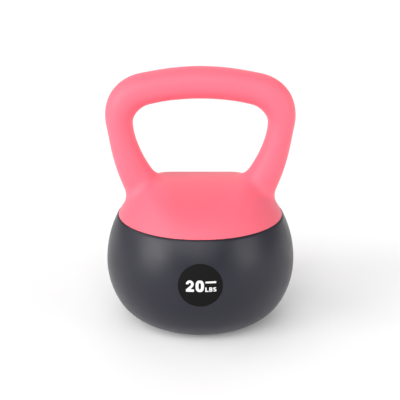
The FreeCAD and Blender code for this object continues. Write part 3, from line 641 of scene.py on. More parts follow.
@dataclass(frozen=True)
class BowlSurface:
    """Outer profile of the bowl: base corner, lower arc and upper arc, each tangent to the next."""

    widest: float = field(default_factory=lambda: reach_of("body_shell"))
    seam: float = field(default_factory=lambda: top_of("body_shell"))
    equator: float = 65 * MM
    upper: float = 109 * MM
    lower: float = 82 * MM
    corner: float = 50 * MM
    slope_step: float = 0.01 * MM

    @property
    def flat(self) -> float:
        """Find where the base corner starts.

        Returns:
            The radius of the flat base.
        """
        drop = self.equator - self.corner
        span = self.lower - self.corner
        return self.widest - self.lower + math.sqrt(span ** 2 - drop ** 2)

    def corner_top(self) -> Point2:
        """Find where the base corner runs into the lower arc.

        Returns:
            The (radius, height) point.
        """
        share = self.lower / (self.lower - self.corner)
        centre = self.widest - self.lower
        return centre + share * (self.flat - centre), self.equator - share * (self.equator - self.corner)

    def radius(self, height: np.ndarray) -> np.ndarray:
        """Find the outer radius.

        Args:
            height: heights above the base.

        Returns:
            The radius at each height.
        """
        rise = height - self.equator
        above = self.widest - self.upper + np.sqrt(np.maximum(self.upper ** 2 - rise ** 2, 0))
        below = self.widest - self.lower + np.sqrt(np.maximum(self.lower ** 2 - rise ** 2, 0))
        turn = np.sqrt(np.maximum(self.corner ** 2 - (self.corner - height) ** 2, 0))
        lower = np.where(height >= self.corner_top()[1], below, self.flat + turn)
        return np.where(rise >= 0, above, lower)

    def slope(self, height: np.ndarray) -> tuple[np.ndarray, np.ndarray]:
        """Find the outward normal.

        Args:
            height: heights above the base.

        Returns:
            The radial part and the upward part of the normal at each height.
        """
        step = self.slope_step
        change = (self.radius(height + step) - self.radius(height - step)) / (2 * step)
        size = np.sqrt(1 + change ** 2)
        return 1 / size, -change / size

    def front(self, across: np.ndarray, height: np.ndarray, proud: float) -> np.ndarray:
        """Points of the bowl's front face.

        Args:
            across: place of each point along X.
            height: height of each point.
            proud: how far the points stand off the surface, outwards.

        Returns:
            N by 3 array of places.
        """
        radius = self.radius(height)
        deep = -np.sqrt(np.maximum(radius ** 2 - across ** 2, 0))
        outwards, upwards = self.slope(height)
        points = np.stack([across, deep, height], axis=-1)
        lean = np.stack([across / radius * outwards, deep / radius * outwards, upwards], axis=-1)
        return points + lean * proud


@dataclass(frozen=True)
class LabelPlace:
    """Round seat of the label in the bowl's front."""

    height: float = field(default_factory=lambda: middle_of("weight_label"))
    radius: float = field(default_factory=lambda: reach_of("weight_label"))
    depth: float = 0.6 * MM
    clearance: float = 0.07 * MM
    edge_round: float = 0.15 * MM


@dataclass
class Bowl:
    """The filled soft bowl: shell with lip, flange and label seat, port in the base, sealant bead."""

    surface: BowlSurface = field(default_factory=BowlSurface)
    seat: LabelPlace = field(default_factory=LabelPlace)
    wall: float = 4.5 * MM
    base_wall: float = 8 * MM
    lip_inner: float = 83 * MM
    lip_round: float = 0.5 * MM
    bead: float = 1.5 * MM
    bead_dome: float = 0.3 * MM
    flange_inner: float = 57 * MM
    flange_top: float = field(default_factory=lambda: bottom_of("neck_gasket"))
    flange_wall: float = 4 * MM
    port_radius: float = 17 * MM
    port_bore: float = field(default_factory=lambda: reach_of("plug_seal"))
    port_flange: float = field(default_factory=lambda: reach_of("port_neck"))
    port_top: float = field(default_factory=lambda: top_of("port_neck"))
    port_flange_wall: float = 2 * MM
    port_edge: float = 0.6 * MM
    recess_radius: float = 19 * MM
    recess_depth: float = 1.5 * MM
    recess_corner: float = 0.4 * MM
    recess_mouth: float = 0.3 * MM
    corner_turn: float = 1.08
    corner_rows: int = 22
    side_rows: int = 50
    columns: int = 256
    window_columns: int = 22
    window_margin: float = 4 * MM
    window_shares: tuple[float, ...] = (0.2, 0.4, 0.6, 0.78, 0.92)

    def outer_rows(self) -> np.ndarray:
        """Space the rows of points up the outside, from the base corner to below the lip.

        Returns:
            The heights of the rows.
        """
        top = self.surface.seam - self.lip_round
        turns = np.linspace(0, self.corner_turn, self.corner_rows)
        corner = [self.surface.corner * (1 - math.cos(turn)) for turn in turns]
        rows = np.linspace(corner[-1], top, self.side_rows)[1:]
        return np.array(corner + list(rows))

    def inner_outline(self) -> list[Point2]:
        """Draw the lip's top, the inside and the underneath, up to the flat base's edge.

        Returns:
            The outline's (radius, height) points.
        """
        surface, wall = self.surface, self.wall
        flange_bottom = self.flange_top - self.flange_wall
        inside = []
        for height in np.linspace(flange_bottom, surface.equator, 24):
            rise = height - surface.equator
            reach = math.sqrt((surface.upper - wall) ** 2 - rise ** 2)
            inside.append((surface.widest - surface.upper + reach, height))
        low = surface.widest - surface.lower
        corner_reach, corner_height = surface.corner_top()
        lower_end = math.degrees(math.atan2(surface.equator - corner_height, corner_reach - low))
        inside += arc_points((low, surface.equator), (surface.lower - wall,) * 2, 0, -lower_end, 20)[1:]
        reach = surface.corner - wall
        floor_turn = math.degrees(math.asin((surface.corner - self.base_wall) / reach))
        floor_centre = (surface.flat, surface.corner)
        inside += arc_points(floor_centre, (reach, reach), -lower_end, -floor_turn, 20)[1:]
        lip_edge = float(surface.radius(np.array(surface.seam)))
        lip_centre = (lip_edge - self.lip_round, surface.seam - self.lip_round)
        lip = arc_points(lip_centre, (self.lip_round,) * 2, 20, 90, 5)
        bead_outer = self.lip_inner + self.bead
        return lip + [
            (bead_outer, surface.seam),
            (bead_outer, surface.seam - self.bead),
            (self.lip_inner, surface.seam - self.bead),
            (self.lip_inner, self.flange_top),
            (self.flange_inner, self.flange_top),
            (self.flange_inner, flange_bottom),
        ] + inside + [
            (self.port_radius, self.base_wall),
            (self.port_radius, self.recess_depth),
            (self.recess_radius - self.recess_corner, self.recess_depth),
            (self.recess_radius, self.recess_depth - self.recess_corner),
            (self.recess_radius, self.recess_mouth),
            (self.recess_radius + self.recess_mouth, 0.0),
        ]

    def shell(self) -> bpy.types.Object:
        """Build the shell as one closed mesh, with the label's seat let into its front.

        Returns:
            The mesh object.
        """
        rows = self.outer_rows()
        outer = [(float(self.surface.radius(np.array(height))), float(height)) for height in rows]
        outline = outer + self.inner_outline()
        columns = self.columns
        start = -math.pi / 2 - math.pi * self.window_columns / columns
        angles = start + np.arange(columns) * FULL_TURN / columns
        points = turned(outline, angles)
        reach = self.seat.radius + self.window_margin
        low_row = int(np.searchsorted(rows, self.seat.height - reach))
        high_row = int(np.searchsorted(rows, self.seat.height + reach))
        faces = []
        for ring in range(len(outline)):
            above = (ring + 1) % len(outline)
            for side in range(columns):
                if low_row <= ring < high_row and side < self.window_columns:
                    continue
                faces.append(panel(ring, above, side, columns))
        border = [low_row * columns + side for side in range(self.window_columns + 1)]
        border += [row * columns + self.window_columns for row in range(low_row + 1, high_row + 1)]
        border += [high_row * columns + side for side in range(self.window_columns - 1, -1, -1)]
        border += [row * columns for row in range(high_row - 1, low_row, -1)]
        points, faces = self.fill_window(points, faces, border)
        item = object_from("body_shell_skin", points, faces)
        tidy_normals(item)
        shade_smooth(item)
        return item

    def fill_window(self, points: np.ndarray, faces: list, border: list[int]) -> tuple[np.ndarray, list]:
        """Fill the window round the label: rings that turn from its square edge to the seat's circle.

        Args:
            points: places so far.
            faces: faces so far.
            border: numbers of the window's edge points, in order.

        Returns:
            The places and faces with the window filled.
        """
        seat = self.seat
        edge = points[border][:, [0, 2]]
        middle = np.array([0.0, seat.height])
        turn = np.arctan2(edge[:, 1] - middle[1], edge[:, 0] - middle[0])
        circle = np.stack([np.cos(turn), np.sin(turn)], axis=-1)
        rim = seat.radius + seat.clearance
        around = []
        for share in self.window_shares:
            around.append((edge + (middle + circle * (rim + seat.edge_round) - edge) * share, 0.0))
        for bend in np.radians((0, 30, 60, 90)):
            radius = rim + seat.edge_round * (1 - math.sin(bend))
            around.append((middle + circle * radius, -seat.edge_round * (1 - math.cos(bend))))
        around.append((middle + circle * rim, -seat.depth))
        for share in np.linspace(0.92, 0.08, 10):
            around.append((middle + circle * rim * share, -seat.depth))
        rings = [border]
        for flat, proud in around:
            first = len(points)
            points = np.vstack([points, self.surface.front(flat[:, 0], flat[:, 1], proud)])
            rings.append(list(range(first, first + len(border))))
        for outside, inside in zip(rings, rings[1:]):
            for here, (a, b) in enumerate(zip(outside, inside)):
                after = (here + 1) % len(outside)
                faces.append((a, outside[after], inside[after], b))
        centre = len(points)
        points = np.vstack([points, self.surface.front(middle[:1], middle[1:], -seat.depth)])
        last = rings[-1]
        faces += [(last[i], last[(i + 1) % len(last)], centre) for i in range(len(last))]
        return points, faces

    def port_neck(self) -> bpy.types.Object:
        """Build the filling port's neck, with a rounded mouth.

        Returns:
            The mesh object.
        """
        disc_top, top = top_of("base_disc"), self.port_top
        low, edge = self.recess_depth, self.port_edge
        mouth = arc_points((self.port_radius - edge, low + edge), (edge, edge), -90, 0, 4)
        bevel = arc_points((self.port_bore + edge, low + edge), (edge, edge), 180, 270, 4)
        return lathe("port_neck_skin", bevel + mouth + [
            (self.port_radius, disc_top),
            (self.port_flange, disc_top),
            (self.port_flange, disc_top + self.port_flange_wall),
            (self.port_radius, disc_top + self.port_flange_wall),
            (self.port_radius, top),
            (self.port_bore, top),
        ], PORT_SIDES)

    def seam_bead(self) -> bpy.types.Object:
        """Build the sealant bead in the lip's rebate, with a slightly domed top.

        Returns:
            The mesh object.
        """
        low, high = self.surface.seam - self.bead, self.surface.seam
        outer = self.lip_inner + self.bead
        middle = (self.lip_inner + self.bead / 2, high - self.bead_dome)
        top = arc_points(middle, (self.bead / 2, self.bead_dome), 0, 180, 8)
        return lathe("seam_bead_skin", [(self.lip_inner, low), (outer, low)] + top, self.columns)

    def build(self) -> None:
        """Build and dress the bowl's pieces."""
        settle(self.shell(), "body_shell", GREY_VINYL)
        settle(self.port_neck(), "port_neck", BLACK_PLASTIC)
        settle(self.seam_bead(), "seam_bead", SEALANT)


@dataclass
class Stopper:
    """The stopper in the filling port, with a coin slot."""

    radius: float = field(default_factory=lambda: reach_of("filler_plug"))
    bottom: float = field(default_factory=lambda: bottom_of("filler_plug"))
    top: float = field(default_factory=lambda: top_of("filler_plug"))
    edge: float = 0.5 * MM
    slot_length: float = 18 * MM
    slot_width: float = 2.4 * MM
    slot_depth: float = 2 * MM
    groove_floor: float = 11.4 * MM
    groove_low: float = 9.54 * MM
    groove_high: float = 11.46 * MM

    def build(self) -> None:
        """Turn the stopper, cut its slot and dress it."""
        corner = (self.radius - self.edge, self.bottom + self.edge)
        face = arc_points(corner, (self.edge,) * 2, -90, 0, 4)
        inner = [(share * (self.radius - self.edge), self.bottom) for share in (AXIS_SHARE, 0.5)]
        item = lathe("filler_plug_skin", inner + face + [
            (self.radius, self.groove_low),
            (self.groove_floor, self.groove_low),
            (self.groove_floor, self.groove_high),
            (self.radius, self.groove_high),
            (self.radius, self.top),
            (AXIS_SHARE * self.radius, self.top),
        ], PORT_SIDES)
        close_axis(item)
        self.cut_slot(item)
        tidy_normals(item)
        shade_smooth(item, 30.0)
        settle(item, "filler_plug", BLACK_PLASTIC)

    def cut_slot(self, item: bpy.types.Object) -> None:
        """Cut the coin slot into the outer face.

        Args:
            item: the turned stopper.
        """
        half = Vector((self.slot_length / 2, self.slot_width / 2, self.slot_depth))
        shell = bmesh.new()
        bmesh.ops.create_cube(shell, size=2.0)
        bmesh.ops.transform(shell, matrix=Matrix.Diagonal((*half, 1.0)), verts=shell.verts)
        bmesh.ops.translate(shell, vec=(0, 0, self.bottom), verts=shell.verts)
        mesh = bpy.data.meshes.new("slot_cutter")
        shell.to_mesh(mesh)
        shell.free()
        cutter = bpy.data.objects.new("slot_cutter", mesh)
        bpy.context.scene.collection.objects.link(cutter)
        cut = item.modifiers.new("slot", "BOOLEAN")
        cut.operation = "DIFFERENCE"
        cut.solver = "EXACT"
        cut.object = cutter
        bake_modifiers(item)
        bpy.data.objects.remove(cutter)


def close_axis(item: bpy.types.Object) -> None:
    """Fill the pinholes that a turned mesh leaves at its axis.

    Args:
        item: the turned object.
    """
    shell = bmesh.new()
    shell.from_mesh(item.data)
    near = [face for face in shell.faces if all(math.hypot(*v.co.xy) < PINHOLE for v in face.verts)]
    bmesh.ops.delete(shell, geom=near, context="FACES")
    bmesh.ops.holes_fill(shell, edges=[edge for edge in shell.edges if edge.is_boundary], sides=0)
    bmesh.ops.recalc_face_normals(shell, faces=shell.faces)
    shell.to_mesh(item.data)
    shell.free()


def bake_modifiers(item: bpy.types.Object) -> None:
    """Replace an object's mesh by what its modifiers make of it.

    Args:
        item: the object.
    """
    bpy.context.view_layer.update()
    graph = bpy.context.evaluated_depsgraph_get()
    mesh = bpy.data.meshes.new_from_object(item.evaluated_get(graph))
    item.modifiers.clear()
    item.data = mesh


# ---------------------------------------------------------------------------------------------
# The handle and shoulder moulding


@dataclass(frozen=True)
class AxisArc:
    """One arc of the handle's axis, from one heading to the next."""

    centre: Point2
    radius: float
    start: float
    end: float

    def point(self, heading: float) -> Point2:
        """Point of the arc with a heading."""
        across, up = self.centre
        return across + self.radius * math.sin(heading), up + self.radius * math.cos(heading)

    @property
    def length(self) -> float:
        """Length of the arc."""
        return self.radius * (self.end - self.start)

    @classmethod
    def from_point(cls, point: Point2, radius: float, start: float, end: float) -> "AxisArc":
        """Make the arc that leaves a point with the heading start."""
        centre = (point[0] - radius * math.sin(start), point[1] - radius * math.cos(start))
        return cls(centre, radius, start, end)


@dataclass
class Handle:
    """The bent handle: a smooth axis with a section that swells at the corners and feet."""

    grip_height: float = field(default_factory=lambda: top_of("handle_tube") - TUBE_RADIUS)
    crown_radius: float = 242.4 * MM
    corner_radius: float = 33.2 * MM
    leg_radius: float = 158.4 * MM
    headings: tuple[float, float, float] = (14.0, 95.7, 117.6)
    foot_run: float = 42 * MM
    flat_radii: tuple[float, ...] = (16.7, 16.3, 18.0, 12.5, 14.4, 17.4, 22.0)
    deep_radii: tuple[float, ...] = (16.9, 16.6, 17.4, 15.9, 16.1, 17.6, 18.2)
    outside_extra: tuple[float, ...] = (0.0, 0.0, 0.7, 0.0, 0.0, 0.0, 0.0)
    ease: float = 16 * MM
    table_step: float = 0.5 * MM

    def __post_init__(self) -> None:
        """Work out the arcs, the stations of the given radii and the smoothed radius tables."""
        crown_end, corner_end, leg_end = (math.radians(heading) for heading in self.headings)
        crown = AxisArc((0.0, self.grip_height - self.crown_radius), self.crown_radius, 0.0, crown_end)
        corner = AxisArc.from_point(crown.point(crown_end), self.corner_radius, crown_end, corner_end)
        leg = AxisArc.from_point(corner.point(corner_end), self.leg_radius, corner_end, leg_end)
        self.arcs = (crown, corner, leg)
        ends = np.cumsum([0.0] + [arc.length for arc in self.arcs] + [self.foot_run])
        self.arc_starts = ends[:-1]
        corner_middle, leg_middle = (ends[1] + ends[2]) / 2, (ends[2] + ends[3]) / 2
        stations = [ends[0], ends[1], corner_middle, ends[2], leg_middle, ends[3], ends[4]]
        self.stations = np.arange(0.0, ends[4], self.table_step)
        self.flat_table = self.smoothed(stations, self.flat_radii)
        self.deep_table = self.smoothed(stations, self.deep_radii)
        self.extra_table = self.smoothed(stations, self.outside_extra)

    def smoothed(self, stations: Sequence[float], radii: Sequence[float]) -> np.ndarray:
        """Ease radii over a short length.

        Args:
            stations: places along the axis.
            radii: a radius in millimetres at each of them.

        Returns:
            The radii in metres at every station of the tables.
        """
        reach = int(2 * self.ease / self.table_step)
        padded = np.arange(-reach, len(self.stations) + reach) * self.table_step
        straight = np.interp(np.abs(padded), stations, np.array(radii) * MM)
        window = np.hanning(2 * reach + 1)
        return np.convolve(straight, window / window.sum(), mode="valid")

    def locate(self, points: np.ndarray) -> tuple[np.ndarray, np.ndarray]:
        """Find where points lie along the axis.

        Args:
            points: N by 3 array of places.

        Returns:
            The station along the axis and the signed distance outwards from it, in the handle's plane.
        """
        across, height = np.abs(points[:, 0]), points[:, 2]
        best = np.full(len(points), np.inf)
        station, outward = np.zeros(len(points)), np.zeros(len(points))
        for arc, begin in zip(self.arcs, self.arc_starts):
            side, rise = across - arc.centre[0], height - arc.centre[1]
            heading = np.clip(np.arctan2(side, rise), arc.start, arc.end)
            off = side * np.sin(heading) + rise * np.cos(heading) - arc.radius
            slip = side * np.cos(heading) - rise * np.sin(heading)
            gap = off ** 2 + slip ** 2
            nearer = gap < best
            best = np.where(nearer, gap, best)
            station = np.where(nearer, begin + arc.radius * (heading - arc.start), station)
            outward = np.where(nearer, np.sign(off) * np.sqrt(gap), outward)
        leg = self.arcs[-1]
        start = leg.point(leg.end)
        along_x, along_z = math.cos(leg.end), -math.sin(leg.end)
        side, rise = across - start[0], height - start[1]
        run = np.clip(side * along_x + rise * along_z, 0.0, self.foot_run)
        left_x, left_z = side - run * along_x, rise - run * along_z
        gap = left_x ** 2 + left_z ** 2
        nearer = gap < best
        station = np.where(nearer, self.arc_starts[-1] + run, station)
        off = left_x * math.sin(leg.end) + left_z * math.cos(leg.end)
        outward = np.where(nearer, np.sign(off) * np.sqrt(gap), outward)
        return station, outward

    def depth(self, points: np.ndarray) -> np.ndarray:
        """Measure how far points stand off the handle's skin.

        Args:
            points: N by 3 array of places.

        Returns:
            Their distances, below zero inside.
        """
        station, outward = self.locate(points)
        flat = np.interp(station, self.stations, self.flat_table)
        flat = flat + np.where(outward > 0, np.interp(station, self.stations, self.extra_table), 0.0)
        deep = np.interp(station, self.stations, self.deep_table)
        reach = np.sqrt(outward ** 2 + points[:, 1] ** 2) + 1e-9
        skin = flat * deep * reach / np.sqrt((deep * outward) ** 2 + (flat * points[:, 1]) ** 2 + 1e-18)
        return reach - skin

    def rod_depth(self, points: np.ndarray, radius: float) -> np.ndarray:
        """Signed distance of points from a round rod along the axis."""
        station, outward = self.locate(points)
        return np.sqrt(outward ** 2 + points[:, 1] ** 2) - radius

    def path(self, spacing: float) -> np.ndarray:
        """Walk the whole axis from the left foot to the right foot.

        Args:
            spacing: about how far apart the points are.

        Returns:
            N by 4 array: each point's place and its outward normal, in the handle's plane.
        """
        half = []
        for arc in self.arcs:
            count = max(2, int(arc.length / spacing))
            for heading in np.linspace(arc.start, arc.end, count, endpoint=False):
                half.append((*arc.point(heading), math.sin(heading), math.cos(heading)))
        leg = self.arcs[-1]
        end = leg.point(leg.end)
        for run in np.linspace(0, self.foot_run, max(2, int(self.foot_run / spacing))):
            half.append((end[0] + run * math.cos(leg.end), end[1] - run * math.sin(leg.end),
                         math.sin(leg.end), math.cos(leg.end)))
        right = np.array(half)
        left = right[:0:-1] * np.array([-1, 1, -1, 1])
        return np.vstack([left, right])


@dataclass
class Shoulder:
    """The shoulder under the handle: a dome whose top is flattened by a roof curved front to back."""

    ring: float = -9 * MM
    dome: float = 108.4 * MM
    equator: float = 65 * MM
    crest: float = 155.3 * MM
    roof: float = 125 * MM
    crease: float = 6.5 * MM

    def depth(self, points: np.ndarray, inset: float = 0.0) -> np.ndarray:
        """Measure how far points stand off the shoulder's skin.

        Args:
            points: N by 3 array of places.
            inset: how far the skin is moved in.

        Returns:
            Their distances, below zero inside.
        """
        reach = np.hypot(points[:, 0], points[:, 1])
        dome = np.hypot(reach - self.ring, points[:, 2] - self.equator) - self.dome + inset
        roof = np.hypot(points[:, 1], points[:, 2] - self.crest + self.roof) - self.roof + inset
        return -soft_minimum(-dome, -roof, self.crease)

    def turned_depth(self, points: np.ndarray, inset: float) -> np.ndarray:
        """Measure how far points stand off the former: the shoulder's front section turned about Z.

        Args:
            points: N by 3 array of places.
            inset: how far the former lies inside the shoulder's skin.

        Returns:
            Their distances, below zero inside.
        """
        reach = np.hypot(points[:, 0], points[:, 1])
        dome = np.hypot(reach - self.ring, points[:, 2] - self.equator) - self.dome + inset
        roof = np.hypot(reach, points[:, 2] - self.crest + self.roof) - self.roof + inset
        return np.maximum(dome, roof)


def soft_minimum(first: np.ndarray, second: np.ndarray, reach: float) -> np.ndarray:
    """Take the smaller of two fields, with a fillet where they meet.

    Args:
        first: values of one field.
        second: values of the other.
        reach: how close the values are where the fillet starts.

    Returns:
        The joined field.
    """
    overlap = np.maximum(reach - np.abs(first - second), 0.0) / reach
    return np.minimum(first, second) - overlap ** 2 * reach / 4


@dataclass
class HandleCap:
    """The one-piece soft moulding of handle and shoulder, hollow over the former and the tube."""

    surface: BowlSurface = field(default_factory=BowlSurface)
    handle: Handle = field(default_factory=Handle)
    shoulder: Shoulder = field(default_factory=Shoulder)
    root_fillet: float = 10.2 * MM
    wall: float = 6 * MM
    tube: float = TUBE_RADIUS
    rim: float = 0.3 * MM
    rim_gap: float = 0.05 * MM
    spigot: float = 82.9 * MM
    spigot_bore: float = 80 * MM
    spigot_bottom: float = field(default_factory=lambda: bottom_of("handle_cap"))
    plate_top: float = field(default_factory=lambda: top_of("anchor_plate"))
    skin_grid: float = 1.7 * MM
    room_grid: float = 3.0 * MM
    room_step: float = 1 * MM
    skirt: float = 12 * MM
    path_step: float = 5 * MM
    bar_sides: int = 32
    evening_rounds: int = 14
    merge_share: float = 0.25

    def outside(self, points: np.ndarray) -> np.ndarray:
        """Signed distance of points from the moulding's outside."""
        return soft_minimum(self.handle.depth(points), self.shoulder.depth(points), self.root_fillet)

    def inside(self, points: np.ndarray) -> np.ndarray:
        """Signed distance of points from the room for the former and the tube."""
        former = self.shoulder.turned_depth(points, self.wall)
        return np.minimum(former, self.handle.rod_depth(points, self.tube))

    def rough(self, rod: bool) -> bpy.types.Object:
        """Make overlapping rough solids of the dome and the bar, to be fused on a grid.

        Args:
            rod: True for the room inside, False for the outside.

        Returns:
            A mesh object that holds both solids.
        """
        inset = self.wall if rod else 0.0
        bottom, top = self.plate_top - self.skirt, self.shoulder.crest - inset
        outline = [(AXIS_GAP, bottom), (self.dome_radius(bottom, inset), bottom)]
        for height in np.linspace(bottom, top, 24)[1:]:
            outline.append((max(AXIS_GAP, self.dome_radius(height, inset)), height))
        outline.append((AXIS_GAP, top))
        dome = lathe("rough_dome", outline, 96)
        roof = np.array([vertex.co for vertex in dome.data.vertices])
        off_ridge = np.hypot(roof[:, 0], roof[:, 1]) if rod else np.abs(roof[:, 1])
        span = self.shoulder.roof - inset
        over = np.sqrt(np.maximum(span ** 2 - off_ridge ** 2, 0))
        roof[:, 2] = np.minimum(roof[:, 2], self.shoulder.crest - self.shoulder.roof + over)
        dome.data.vertices.foreach_set("co", roof.reshape(-1))
        return join([dome, self.rough_bar(rod)])

    def dome_radius(self, height: float, inset: float) -> float:
        """Radius of the dome at a height."""
        rise = height - self.shoulder.equator
        return self.shoulder.ring + math.sqrt((self.shoulder.dome - inset) ** 2 - rise ** 2)

    def rough_bar(self, rod: bool) -> bpy.types.Object:
        """Sweep the handle's section along the axis.

        Args:
            rod: True for the tube's section, False for the handle's own.

        Returns:
            The mesh object.
        """
        path, sides = self.handle.path(self.path_step), self.bar_sides
        turn = np.arange(sides) * FULL_TURN / sides
        points = []
        for across, height, out_x, out_z in path:
            flat = deep = self.tube
            if not rod:
                station, _ = self.handle.locate(np.array([[across, 0.0, height]]))
                flat = float(np.interp(station[0], self.handle.stations, self.handle.flat_table))
                deep = float(np.interp(station[0], self.handle.stations, self.handle.deep_table))
            for angle in turn:
                off = flat * math.cos(angle)
                points.append((across + out_x * off, deep * math.sin(angle), height + out_z * off))
        faces = [tuple(range(sides)), tuple(range(len(points) - sides, len(points)))]
        for ring in range(len(path) - 1):
            faces += [panel(ring, ring + 1, side, sides) for side in range(sides)]
        item = object_from("rough_bar", np.array(points), faces)
        tidy_normals(item)
        return item

    def skin(self, name: str, depth: Field, grid: float, rod: bool, cut: float) -> bmesh.types.BMesh:
        """Fuse the rough solids on a grid, pull the result onto the true surface and cut it level.

        Args:
            name: not used.
            depth: signed distance from the true surface.
            grid: size of the grid's cells.
            rod: True for the room inside, False for the outside.
            cut: height of the level cut; what lies below is dropped.

        Returns:
            The open skin.
        """
        item = self.rough(rod)
        fuse = item.modifiers.new("fuse", "REMESH")
        fuse.mode = "VOXEL"
        fuse.voxel_size = grid
        bake_modifiers(item)
        pull_onto(item.data, depth, self.evening_rounds)
        shell = bmesh.new()
        shell.from_mesh(item.data)
        bpy.data.objects.remove(item)
        whole = shell.verts[:] + shell.edges[:] + shell.faces[:]
        plane = {"plane_co": (0, 0, cut), "plane_no": (0, 0, 1)}
        bmesh.ops.bisect_plane(shell, geom=whole, clear_inner=True, **plane)
        bmesh.ops.remove_doubles(shell, verts=open_edge(shell), dist=grid * self.merge_share)
        snap_to_ring(shell, depth, cut)
        return shell

    def build(self) -> None:
        """Build and dress the moulding."""
        seam = self.surface.seam
        cut = seam + self.rim + self.rim_gap
        outer = self.skin("cap_skin", self.outside, self.skin_grid, False, cut)
        low = seam + self.rim_gap
        for turn in np.radians((30, 60, 90)):
            inward, up = self.rim * (1 - math.cos(turn)), self.rim * (1 - math.sin(turn))
            extend_rim(outer, inward, None, low + up)
        extend_rim(outer, None, self.spigot, low)
        extend_rim(outer, None, self.spigot, self.spigot_bottom)
        cut = self.plate_top + self.room_step
        inner = self.skin("cap_room", self.inside, self.room_grid, True, cut)
        extend_rim(inner, None, self.spigot_bore, self.plate_top)
        extend_rim(inner, None, self.spigot_bore, self.spigot_bottom)
        whole = merge_shells(outer, inner)
        item = bpy.data.objects.new("handle_cap_skin", whole)
        bpy.context.scene.collection.objects.link(item)
        shade_smooth(item, 50.0)
        settle(item, "handle_cap", PINK_VINYL)


def join(items: Sequence[bpy.types.Object]) -> bpy.types.Object:
    """Join meshes into the first of the objects.

    Args:
        items: the objects; the others are removed.

    Returns:
        The first object.
    """
    shell = bmesh.new()
    for item in items:
        shell.from_mesh(item.data)
    shell.to_mesh(items[0].data)
    shell.free()
    for item in items[1:]:
        bpy.data.objects.remove(item)
    return items[0]


def gradient(depth: Field, points: np.ndarray) -> np.ndarray:
    """Find the direction in which a field grows.

    Args:
        depth: the field.
        points: N by 3 array of places.

    Returns:
        N by 3 array of its slopes there.
    """
    parts = []
    for axis in range(3):
        shift = np.zeros(3)
        shift[axis] = PROBE
        parts.append((depth(points + shift) - depth(points - shift)) / (2 * PROBE))
    return np.stack(parts, axis=-1)


def onto(depth: Field, points: np.ndarray, tries: int = 3) -> np.ndarray:
    """Move points along a field's gradient onto its zero surface.

    Args:
        depth: the field.
        points: N by 3 array of places.
        tries: number of moves.

    Returns:
        The moved points.
    """
    for _ in range(tries):
        slope = gradient(depth, points)
        size = np.maximum((slope ** 2).sum(axis=1), LEAST_SLOPE)
        move = np.clip(depth(points) / size, -LONGEST_MOVE, LONGEST_MOVE)
        points = points - slope * move[:, None]
    return points


def pull_onto(mesh: bpy.types.Mesh, depth: Field, rounds: int) -> None:
    """Even out a mesh and keep it on a field's zero surface.

    Args:
        mesh: the mesh.
        depth: the field.
        rounds: number of times that the mesh is evened out.
    """
    count = len(mesh.vertices)
    points = np.empty(count * 3)
    mesh.vertices.foreach_get("co", points)
    points = points.reshape(-1, 3)
    ends = np.empty(len(mesh.edges) * 2, dtype=int)
    mesh.edges.foreach_get("vertices", ends)
    first, second = ends.reshape(-1, 2).T
    links = np.bincount(first, minlength=count) + np.bincount(second, minlength=count)
    points = onto(depth, points)
    for _ in range(rounds):
        total = np.zeros_like(points)
        np.add.at(total, first, points[second])
        np.add.at(total, second, points[first])
        points = points * KEPT_SHARE + total / links[:, None] * (1 - KEPT_SHARE)
        points = onto(depth, points, 1)
    points = onto(depth, points)
    mesh.vertices.foreach_set("co", points.reshape(-1))
    mesh.update()


def open_edge(shell: bmesh.types.BMesh) -> list[bmesh.types.BMVert]:
    """Points on a skin's open edge."""
    return list({vertex for edge in shell.edges if edge.is_boundary for vertex in edge.verts})


def snap_to_ring(shell: bmesh.types.BMesh, depth: Field, height: float) -> None:
    """Put a skin's open edge exactly where its surface has a height.

    Args:
        shell: the open skin.
        depth: signed distance from the surface.
        height: the height.
    """
    for vertex in open_edge(shell):
        turn = math.atan2(vertex.co.y, vertex.co.x)
        reach = math.hypot(vertex.co.x, vertex.co.y)
        for _ in range(4):
            ray = np.array([[reach * math.cos(turn), reach * math.sin(turn), height]])
            ahead = ray * np.array([[1 + PROBE / reach, 1 + PROBE / reach, 1]])
            here, there = float(depth(ray)[0]), float(depth(ahead)[0])
            reach -= here * PROBE / (there - here)
        vertex.co = (reach * math.cos(turn), reach * math.sin(turn), height)


def extend_rim(shell: bmesh.types.BMesh, inward: float | None, radius: float | None,
               height: float) -> None:
    """Carry the open edge of a skin on to a new ring.

    Args:
        shell: the open skin.
        inward: how far the new ring lies inside the first cut, or None where radius says.
        radius: radius of the new ring, or None where inward says.
        height: height of the new ring.
    """
    edges = [edge for edge in shell.edges if edge.is_boundary]
    made = bmesh.ops.extrude_edge_only(shell, edges=edges)["geom"]
    for vertex in (part for part in made if isinstance(part, bmesh.types.BMVert)):
        reach = math.hypot(vertex.co.x, vertex.co.y)
        goal = radius if radius is not None else reach - inward
        vertex.co = (vertex.co.x * goal / reach, vertex.co.y * goal / reach, height)


def merge_shells(outer: bmesh.types.BMesh, inner: bmesh.types.BMesh) -> bpy.types.Mesh:
    """Join two skins whose open edges lie in one plane, and fill between the edges.

    Args:
        outer: skin of the outside.
        inner: skin of the room inside.

    Returns:
        The closed mesh.
    """
    mesh = bpy.data.meshes.new("handle_cap_skin")
    for shell in (outer, inner):
        part = bpy.data.meshes.new("part")
        shell.to_mesh(part)
        shell.free()
        joined = bmesh.new()
        joined.from_mesh(mesh)
        joined.from_mesh(part)
        joined.to_mesh(mesh)
        joined.free()
    closed = bmesh.new()
    closed.from_mesh(mesh)
    edges = [edge for edge in closed.edges if edge.is_boundary]
    bmesh.ops.triangle_fill(closed, use_beauty=True, edges=edges)
    bmesh.ops.recalc_face_normals(closed, faces=closed.faces)
    closed.to_mesh(mesh)
    closed.free()
    return mesh


# ---------------------------------------------------------------------------------------------
# The label


class Mark(Enum):
    """The marks of the label's plain lettering."""

    TWO = "two"
    ZERO = "zero"
    L = "l"
    B = "b"
    S = "s"
    BAR = "bar"


